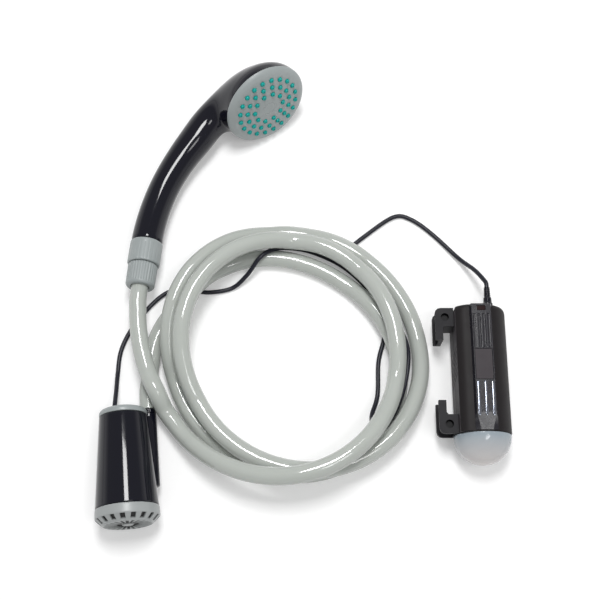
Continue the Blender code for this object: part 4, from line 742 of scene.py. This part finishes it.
def makeFace():
    # A crowned disc with a rolled rim, turned. A moat sinks round every nozzle, and a groove round the cap.
    sizes = face
    full, back, height = sizes["radius"], sizes["back"], sizes["height"]
    crown = np.linspace(0, sizes["crownShare"], 90) * full
    rim = [(share * full, rise * height) for share, rise in sizes["rim"]]
    corners = [(crown[-1], faceHeight(crown[-1])), *rim, (full, -back / 2),
               (full - sizes["rimBevel"], -back), (0.90 * full, -back)]
    profile = np.concatenate((np.column_stack((crown, faceHeight(crown)))[:-1],
                              rounded(corners, sizes["rimFillet"], 6), [(0.0, -back)]))
    angle = np.linspace(0, math.tau, 361)[None, :]
    x, y = polar(profile[:, 0:1], angle)
    top = np.arange(len(profile))[:, None] < len(crown)
    fromGroove = np.abs(np.hypot(x, y) - sizes["cap"])
    groove = bump(fromGroove, -1, sizes["capGrooveHalf"], sizes["capGrooveSoft"])
    z = profile[:, 1:2] - top * sizes["capGroove"] * groove
    for placeX, placeY in nozzlePlaces():
        away = np.hypot(x - placeX, y - placeY)
        z -= top * sizes["moat"] * bump(away, -1, sizes["nozzle"] + sizes["moatWidth"], sizes["moatSoft"])
    plate = ringMesh("facePlate", headFrame, x, y, z, 50)
    dress(plate, "handset", "light_grey_plastic", "face_plate", "centre_cap", "face_screw")


def makeNozzles():
    # One nub's profile turned at every place at once: a soft cone with a rounded tip and a hole in it
    radius, tip, bottom = face["nozzle"], face["standout"], face["standout"] - face["nozzleHoleDepth"]
    corners = ((radius + 0.0001, -face["nozzleRoot"]), (radius, 0.0), (radius * 0.90, tip * 0.6),
               (radius * 0.60, tip), (face["nozzleMouth"], tip), (face["nozzleHole"], bottom), (0.0, bottom))
    profile = rounded(corners, face["nozzleFillet"], 4)
    angle = np.linspace(0, math.tau, 21)
    places = nozzlePlaces()
    x = places[:, None, None, 0] + profile[None, :, None, 0] * np.cos(angle)
    y = places[:, None, None, 1] + profile[None, :, None, 0] * np.sin(angle)
    z = faceHeight(np.linalg.norm(places, axis=1))[:, None, None] + profile[None, :, None, 1]
    points = np.stack(np.broadcast_arrays(x, y, z), axis=-1)
    points[:, :, -1] = points[:, :, 0]
    mesh = bpy.data.meshes.new("nozzles")
    index = np.arange(points[..., 0].size).reshape(points.shape[:3])
    mesh.from_pydata(inWorld(headFrame, points).reshape(-1, 3).tolist(), [], quads(index).tolist())
    dress(closed("nozzles", mesh, 50), "handset", "teal_rubber", "nozzle_mat")


makeFace()
makeNozzles()
print("shower head's face made")

# Pump


def tubeCircle(angle, radius, side, missed):
    # How far out each angle's line meets a circle round the outlet tube, on its near side (-1) or its far
    # side (1), and the missed value where it passes the circle
    away = math.hypot(pumpSizes["tubeSide"], pumpSizes["tubeDrop"])
    turn = angle + math.atan2(pumpSizes["tubeDrop"], pumpSizes["tubeSide"])
    inside = radius ** 2 - (away * np.sin(turn)) ** 2
    meets = (inside > 0) & (np.cos(turn) > 0)
    return np.where(meets, away * np.cos(turn) + side * np.sqrt(np.maximum(inside, 0)), missed)


def makePumpBody():
    # Round body and the tube at its side as one skin. At each angle the radius is the further of the
    # body's and the far side of the tube's circle, and a web fills between them.
    sizes = pumpSizes
    length, web = sizes["length"], sizes["web"]
    angle = np.linspace(0, math.tau, 361)[None, :]
    levels = np.concatenate((np.linspace(0, 0.0012, 5), np.linspace(0.0013, length - 0.0008, 120),
                             np.linspace(length - 0.0007, length, 5)))[:, None]
    edge = np.minimum(levels, length - levels)
    soften = sizes["rimSoft"] * (1 - np.clip(edge / 0.0007, 0, 1)) ** 2
    body = sizes["foot"] + (sizes["top"] - sizes["foot"]) * levels / length - soften
    tube = tubeCircle(angle, sizes["tube"], 1, 0.0) * bump(levels, sizes["tubeFoot"], 1, sizes["tubeFade"])
    near = np.clip(1 - np.abs(body - tube) / web, 0, 1)
    radius = np.maximum(body, tube) + near ** 2 * web / 4
    skin = ringMesh("pumpBody", pumpFrame, *polar(radius, angle), -levels, 35)
    dress(skin, "base", "gloss_black_plastic", "pump_body")


def makeTubeTop():
    # The tube's end beside the cap, a short turned length with a softened rim
    radius, low, high = pumpSizes["tube"], pumpSizes["length"] - 0.0010, pumpSizes["tubeTop"]
    profile = rounded(((0.0, -low), (radius, -low), (radius, -high), (0.0, -high)), 0.0004)
    place = pumpFrame @ Matrix.Translation((pumpSizes["tubeSide"], -pumpSizes["tubeDrop"], 0))
    dress(turnedMesh("outletTubeTop", profile, place, 64), "base", "gloss_black_plastic")


def makePumpCap():
    # Turned, with a bevelled rim that gives way to the tube: there the radius is the near side of its circle
    sizes = pumpSizes
    top, boss, bevel = sizes["top"], sizes["boss"], sizes["capBevel"]
    low = -sizes["length"] - sizes["gap"]
    high = low - sizes["capThickness"]
    profile = rounded(((0.0, low), (top, low), (top, high + bevel), (top - bevel / 3, high + bevel / 3),
                       (top - bevel, high), (boss, high), (boss - 0.001, high - sizes["bossHeight"]),
                       (0.0, high - sizes["bossHeight"])), 0.0006)

    def notch(angle, radius, height):
        return np.minimum(radius, tubeCircle(angle, sizes["tube"] + sizes["gap"], -1, 1.0)) - radius

    cap = turnedMesh("pumpTopCap", profile, pumpFrame, 480, notch)
    dress(cap, "base", "light_grey_plastic", "pump_top_cap")


strainer = {
    "radius": 0.0248, "ring": 0.0075, "foot": 0.0192, "depth": 0.0130, "spigot": 0.0038, "windows": 18,
    "windowWidth": 0.0036, "windowDepth": 0.0018, "windowLow": 0.13, "windowHigh": 0.75, "slots": 24,
    "slotWidth": 0.0021, "slotDepth": 0.0014, "slotLow": 0.0045, "slotHigh": 0.0178, "columns": 720,
}


def radialCuts(angle, radius, count, width):
    # 1 in each of a number of cuts at even angles, which keep their width at every radius
    step = math.tau / count
    return bump(np.abs(np.mod(angle, step) - step / 2) * radius, -1, width / 2, 0.0003)


def makeStrainer():
    # A profile turned about the pump's axis. Windows and slots sink along the profile's normal, each where
    #  its angle and its share of the way along the cone or the foot lie inside, and the masks mark them for
    #  painted shade inside.
    sizes = strainer
    gap, outer, foot, depth = pumpSizes["gap"], sizes["radius"], sizes["foot"], sizes["depth"]
    inside = pumpSizes["foot"] - pumpSizes["wall"] - gap
    corners = ((0.0, -sizes["spigot"]), (inside, -sizes["spigot"]), (inside, gap), (outer - gap, gap),
               (outer, sizes["ring"]), (foot, depth), (0.0, depth))
    line = evenPath(rounded(corners, 0.0007), 0.00045)
    ahead = directions(line)
    angle = np.linspace(0, math.tau, sizes["columns"] + 1)[None, :]
    radius, height = line[:, 0:1], line[:, 1:2]
    onCone = (outer - radius) / (outer - foot)
    coneBand = bump(onCone, sizes["windowLow"], sizes["windowHigh"], 0.06) * (height > sizes["ring"])
    footBand = bump(radius, sizes["slotLow"], sizes["slotHigh"], 0.0005) * (height > depth - 0.0004)
    window = radialCuts(angle, radius, sizes["windows"], sizes["windowWidth"]) * coneBand
    slot = radialCuts(angle, radius, sizes["slots"], sizes["slotWidth"]) * footBand
    sink = sizes["windowDepth"] * window + sizes["slotDepth"] * slot
    sunkRadius = radius - np.abs(ahead[:, 1:2]) * sink
    sunkHeight = height - np.abs(ahead[:, 0:1]) * sink
    cup = ringMesh("strainerCup", pumpFrame, *polar(sunkRadius, angle), sunkHeight, 35,
                   (np.clip(window + slot, 0, 1), 0 * window))
    dress(cup, "strainer", "light_grey_plastic", "strainer", look="strainer_grey")


makePumpBody()
makeTubeTop()
makePumpCap()
makeStrainer()
print("pump made")

# Battery pack

strip = {
    "width": 0.0174, "topWidth": 0.0150, "height": 0.0250, "taperStart": 0.0148, "end": 0.0015,
    "farInset": 0.0008, "tipWidth": 0.62, "tipRise": 0.0014, "fit": 0.0003,
    "grooves": 4, "grooveLength": 0.0270, "grooveWidth": 0.0018, "grooveDepth": 0.0008, "grooveStart": 0.0660,
    "panelWidth": 0.0130, "panelLength": 0.0240, "panelStart": 0.0405, "panelDepth": 0.0008,
    "windowWidth": 0.0064, "windowLength": 0.0032, "windowToEnd": 0.0028, "windowDepth": 0.0012,
    "ribs": 3, "ribLength": 0.0270, "ribWidth": 0.0022, "ribStandout": 0.0009, "ribStart": 0.0120,
    "ribPitch": 0.0056,
}
wallGrip = {"lines": 6, "pitch": 0.0042, "width": 0.0011, "depth": 0.0007, "low": 0.0400, "slant": -0.3,
            "high": 0.0150, "seam": 0.0004, "seamDepth": 0.0006, "endSeam": 0.00015}


def caseRing(radius, left, top, angle):
    # Round on the right. On the left the cosine and sine are raised to a power below one, which squares the
    # circle. Then a flat left wall cuts it, and a soft minimum rounds it off towards the land on top.
    power = packSizes["squareness"]
    across, up = np.cos(angle), np.sin(angle)
    squareAcross = np.where(across < 0, -np.abs(across) ** power, across)
    squareUp = np.where(across < 0, np.sign(up) * np.abs(up) ** power, up)
    soft = packSizes["landSoft"]
    land = -soft * np.logaddexp(-radius * squareUp / soft, -top / soft)
    return np.maximum(radius * squareAcross, -left), land


def makeCaseHalf(name, side, *replaced):
    # Half a shell: the outer ring and the inner ring, joined at both ends and along the split. Columns are
    # closer together on the left wall, where the grip's slanting grooves and the seam sink.
    sizes, grip = packSizes, wallGrip
    power, length, shoulder, start = sizes["squareness"], sizes["length"], sizes["shoulder"], sizes["start"]
    bend = 2.3
    nearWall = math.pi - np.linspace((math.pi - bend) ** power, 0.0015 ** power, 110) ** (1 / power)
    angle = side * np.concatenate((np.linspace(0.003, bend, 90)[:-1], nearWall))[None, :]
    levels = np.concatenate((np.linspace(0, 0.0006, 4), np.linspace(0.0009, length - shoulder, 260),
                             length - shoulder * (1 - np.sin(np.linspace(0, math.pi / 2, 14)[1:]))))[:, None]
    fromEnd = np.clip((levels - length + shoulder) / shoulder, 0, 1)
    pull = sizes["shoulderInset"] * (1 - np.sqrt(1 - fromEnd ** 2 * 0.999))
    soft = sizes["rimSoft"] * (1 - np.clip(levels / 0.0006, 0, 1))
    radius, left, top, wall = sizes["radius"] - pull, sizes["left"] - pull / 2, sizes["top"], sizes["wall"]
    outerX, outerY = caseRing(radius - soft, left - soft, top, angle)
    onWall = bump(-outerX, sizes["left"] - 0.0002, 1, 0.0002)
    along = levels + start + grip["slant"] * outerY
    groove = bump(np.mod(along, grip["pitch"]), 0.001, 0.001 + grip["width"], 0.0005)
    groove = groove * bump(along, grip["low"], grip["low"] + grip["lines"] * grip["pitch"], 0.0004) * bump(
        np.abs(outerY), -1, grip["high"], 0.0008)
    seam = bump(np.abs(outerY), -1, grip["seam"], 0.0003)
    outerX = outerX + (grip["depth"] * groove + grip["seamDepth"] * seam) * onWall
    innerX, innerY = caseRing(radius - wall, left - wall, top - wall, angle)
    # The first mask marks painted shade in the grip grooves and the dark seam; the second marks the flat
    # wall, which gets a painted floor reflection
    cuts = np.clip(groove + seam, 0, 1) * onWall
    plain = np.zeros_like(cuts)
    masks = [np.concatenate((mask + plain, plain, plain[:, :1]), axis=1) for mask in (cuts, onWall)]
    x = np.concatenate((outerX, innerX[:, ::-1], outerX[:, :1]), axis=1)
    y = np.concatenate((outerY, innerY[:, ::-1], outerY[:, :1]), axis=1)
    piece = ringMesh(name, packFrame, x, y, -levels - start, 30, masks)
    dress(piece, "base", "satin_dark_plastic", *replaced, look="case_satin")


def makeEndWall(name, hole, side):
    # One side of the case's end wall: from the hole's circle outwards along each angle to the case's inner
    # ring or to the line where the two sides meet, whichever comes first, then back at the wall's depth
    sizes = packSizes
    holeX, holeY, holeRadius = hole
    thin = sizes["wall"] + sizes["shoulderInset"] - 0.0001
    ringX, ringY = caseRing(sizes["radius"] - thin, sizes["left"] - thin + sizes["shoulderInset"] / 2,
                            sizes["top"] - sizes["wall"], np.linspace(0, math.tau, 721))
    bearing = np.mod(np.arctan2(ringY - holeY, ringX - holeX), math.tau)
    order = np.argsort(bearing)
    away = np.hypot(ringX - holeX, ringY - holeY)
    angle = np.linspace(0, math.tau, 241)[None, :]
    toRing = np.interp(angle, bearing[order], away[order], period=math.tau)
    towards = side * np.cos(angle)
    toSplit = np.where(towards > 1e-6, side * (sizes["endSplit"] - holeX) / np.maximum(towards, 1e-6), 1.0)
    reach = holeRadius + (np.minimum(toRing, toSplit) - holeRadius) * np.linspace(0, 1, 16)[:, None]
    x, y = holeX + reach * np.cos(angle), holeY + reach * np.sin(angle)
    seam = bump(np.abs(y), -1, wallGrip["endSeam"], 0.0002)
    front = sizes["endInset"] * (1 + seam) - packEnd
    back = np.full_like(x, sizes["endWall"] - packEnd)
    x, y = (np.concatenate((value, value[::-1], value[:1])) for value in (x, y))
    cuts = np.concatenate((seam, 0 * seam, seam[:1]))
    piece = ringMesh(name, packFrame, x, y, np.concatenate((front, back, front[:1])), 30, (cuts, 0 * cuts))
    dress(piece, "base", "satin_dark_plastic", look="case_satin")


def sunkPlace(x, along, halfWidth, start, length, edge=0.0003):
    # 1 inside a rectangle in the strip, whose middle is x's zero
    return bump(np.abs(x), -1, halfWidth, edge) * bump(along, start, start + length, edge)


def makeStrip():
    # Across: a closed ring from the left foot over the top to the right foot. Along: from the tip to the end.
    sizes = strip
    fit, end, taperStart, case = sizes["fit"], sizes["end"], sizes["taperStart"], packSizes["top"]
    along = np.concatenate((np.linspace(end, taperStart, 40)[:-1],
                            np.linspace(taperStart, packEnd - sizes["farInset"], 420)))[:, None]
    taper = np.clip((along - end) / (taperStart - end), 0, 1)
    halfTop = sizes["topWidth"] / 2 * (sizes["tipWidth"] + (1 - sizes["tipWidth"]) * taper)
    x = halfTop * np.linspace(-1, 1, 150)
    y = case + sizes["tipRise"] + (sizes["height"] - case - sizes["tipRise"]) * taper + 0 * x
    for groove in range(sizes["grooves"]):
        centre = (groove - (sizes["grooves"] - 1) / 2) * sizes["topWidth"] / sizes["grooves"]
        y -= sizes["grooveDepth"] * sunkPlace(x - centre, along, sizes["grooveWidth"] / 2,
                                              sizes["grooveStart"], sizes["grooveLength"], 0.0006)
    y -= sizes["panelDepth"] * sunkPlace(x, along, sizes["panelWidth"] / 2 + fit, sizes["panelStart"] - fit,
                                         sizes["panelLength"] + 2 * fit)
    windowStart = packEnd - sizes["windowToEnd"] - sizes["windowLength"] - fit
    y -= sizes["windowDepth"] * sunkPlace(x, along, sizes["windowWidth"] / 2 + fit, windowStart,
                                          sizes["windowLength"] + 2 * fit, 0.0002)
    foot = np.full_like(along, sizes["width"] / 2)
    low = np.full_like(along, case + packSizes["gap"])
    ringX = np.concatenate((-foot, x, foot, -foot), axis=1)
    ringY = np.concatenate((low, y, low, low), axis=1)
    dress(ringMesh("trimStrip", packFrame, ringX, ringY, -along, 28), "base", "strip_plastic", "trim_strip")


def makeRib(number, x):
    # A long low dome: a half circle across, whose width rounds off at both ends, and a slow arch along it
    sizes = strip
    across = np.linspace(-1, 1, 26)[None, :]
    along = np.sin(np.linspace(-math.pi / 2, math.pi / 2, 90))[:, None]
    half, halfLength = sizes["ribWidth"] / 2, sizes["ribLength"] / 2
    level = sizes["height"] + packSizes["gap"]
    fromEnd = np.clip((1 - np.abs(along)) * halfLength / half, 0, 1)
    full = np.sqrt(np.clip(1 - (1 - fromEnd) ** 2, 0, 1))
    arch = 1 - 0.85 * ((along - 0.45) / 1.45) ** 2
    rise = (sizes["ribStandout"] - packSizes["gap"]) * np.sqrt(np.clip(1 - across ** 2, 0, 1)) * full * arch
    topX = x + half * full * across
    ringX = np.concatenate((topX, topX[:, -2::-1]), axis=1)
    ringY = np.concatenate((level + rise, np.full_like(topX[:, 1:], level)), axis=1)
    z = -(sizes["ribStart"] + halfLength) - along * halfLength
    piece = ringMesh(f"glossRib{number}", packFrame, ringX, ringY, z, 60)
    dress(piece, "base", "gloss_rib_plastic", f"gloss_rib_{number}")


dome = {"radius": 0.0225, "base": 0.0003, "wall": 0.0018, "bevel": 0.0003}


def makeDome():
    # Outer half ball and inner half ball, turned about the pack's axis
    radius, base, bevel = dome["radius"], dome["base"], dome["bevel"]
    angle = np.linspace(0, math.pi / 2, 40)
    quarter = np.column_stack(polar(1, angle))
    inside = radius - dome["wall"]
    profile = np.concatenate(([(radius - bevel, -base), (radius, bevel - base)], radius * quarter,
                              inside * quarter[::-1], [(inside, -base), (radius - bevel, -base)]))
    profile[:, 0] = np.maximum(profile[:, 0], 0)
    dress(turnedMesh("lampDome", profile, packFrame, 128), "base", "frosted_dome", "lamp_dome")


makeCaseHalf("caseUpper", 1, "case_upper")
makeCaseHalf("caseLower", -1, "case_lower")
makeEndWall("endWallLeft", packSizes["buttonHole"], 1)
makeEndWall("endWallRight", packSizes["jackHole"], -1)
makeStrip()
for number in range(strip["ribs"]):
    makeRib(number + 1, (number - (strip["ribs"] - 1) / 2) * strip["ribPitch"])
makeDome()
print("battery pack made")

# Floor, world and lamps

studio = {
    "floorHalf": 3.0, "floorTone": 0.84, "floorGlow": 0.20, "worldWhite": 0.60, "worldAbove": 0.38,
    "keyBox": ((-0.016, 0.30, 1.27), (0, 0, 0), (0.32, 0.44), 10.2),
    "nearBox": ((0.37, -0.38, 1.25), (0.14, -0.15, 0), (0.45, 0.26), 2.8),
}


def seenRay(tree):
    # 1 for a ray that shows the background itself, in the view, in a reflection or through something clear
    ray = addNode(tree, "LightPath").outputs
    mirrored = combined(tree, "MAXIMUM", ray["Is Glossy Ray"], ray["Is Transmission Ray"])
    return combined(tree, "MAXIMUM", ray["Is Camera Ray"], mirrored)


def makeFloor():
    # White paper, which shows a little brighter where it is seen or mirrored
    half = studio["floorHalf"]
    corners = np.array([[(-half, -half, 0), (half, -half, 0)], [(-half, half, 0), (half, half, 0)]], float)
    piece = gridMesh("studioFloor", corners)
    material, tree, shader = newMaterial("paperFloor")
    shader.inputs["Base Color"].default_value = (studio["floorTone"],) * 3 + (1,)
    shader.inputs["Roughness"].default_value = 0.9
    shader.inputs["Specular IOR Level"].default_value = 0.0
    glow = combined(tree, "MULTIPLY", seenRay(tree), studio["floorGlow"])
    light = addNode(tree, "Emission", Color=(1, 1, 1, 1), Strength=glow)
    both = addNode(tree, "AddShader", i0=shader.outputs[0], i1=light.outputs[0])
    tree.links.new(both.outputs[0], tree.nodes["Material Output"].inputs["Surface"])
    piece.data.materials.append(material)


def makeWorld():
    # Brighter towards the horizon, and plain white there where it is seen or mirrored
    world = bpy.data.worlds.new("studio")
    bpy.context.scene.world = world
    world.use_nodes = True
    tree = world.node_tree
    tree.nodes.clear()
    place = addNode(tree, "TexCoord").outputs["Generated"]
    rise = addNode(tree, "SeparateXYZ", Vector=place).outputs["Z"]
    lit = remapped(tree, rise, 0.25, 0.8, studio["worldWhite"], studio["worldAbove"])
    seen = remapped(tree, rise, 0.12, 0.40, 1.0, studio["worldAbove"])
    level = addNode(tree, "Mix", {"data_type": "FLOAT"}, i0=seenRay(tree), i2=lit, i3=seen)
    sky = addNode(tree, "Background", Color=(1, 1, 1, 1), Strength=level.outputs[0])
    tree.links.new(sky.outputs[0], addNode(tree, "OutputWorld").inputs["Surface"])


def makeLamp(name):
    # A soft box from its place, what it aims at, its size and its power
    place, aim, size, power = studio[name]
    data = bpy.data.lights.new(name, "AREA")
    data.shape = "RECTANGLE"
    data.size, data.size_y = size
    data.energy = power
    lamp = placed(name, data)
    lamp.location = place
    lamp.rotation_euler = (Vector(aim) - Vector(place)).to_track_quat("-Z", "Y").to_euler()


makeFloor()
makeWorld()
makeLamp("keyBox")
makeLamp("nearBox")
print("studio lit")
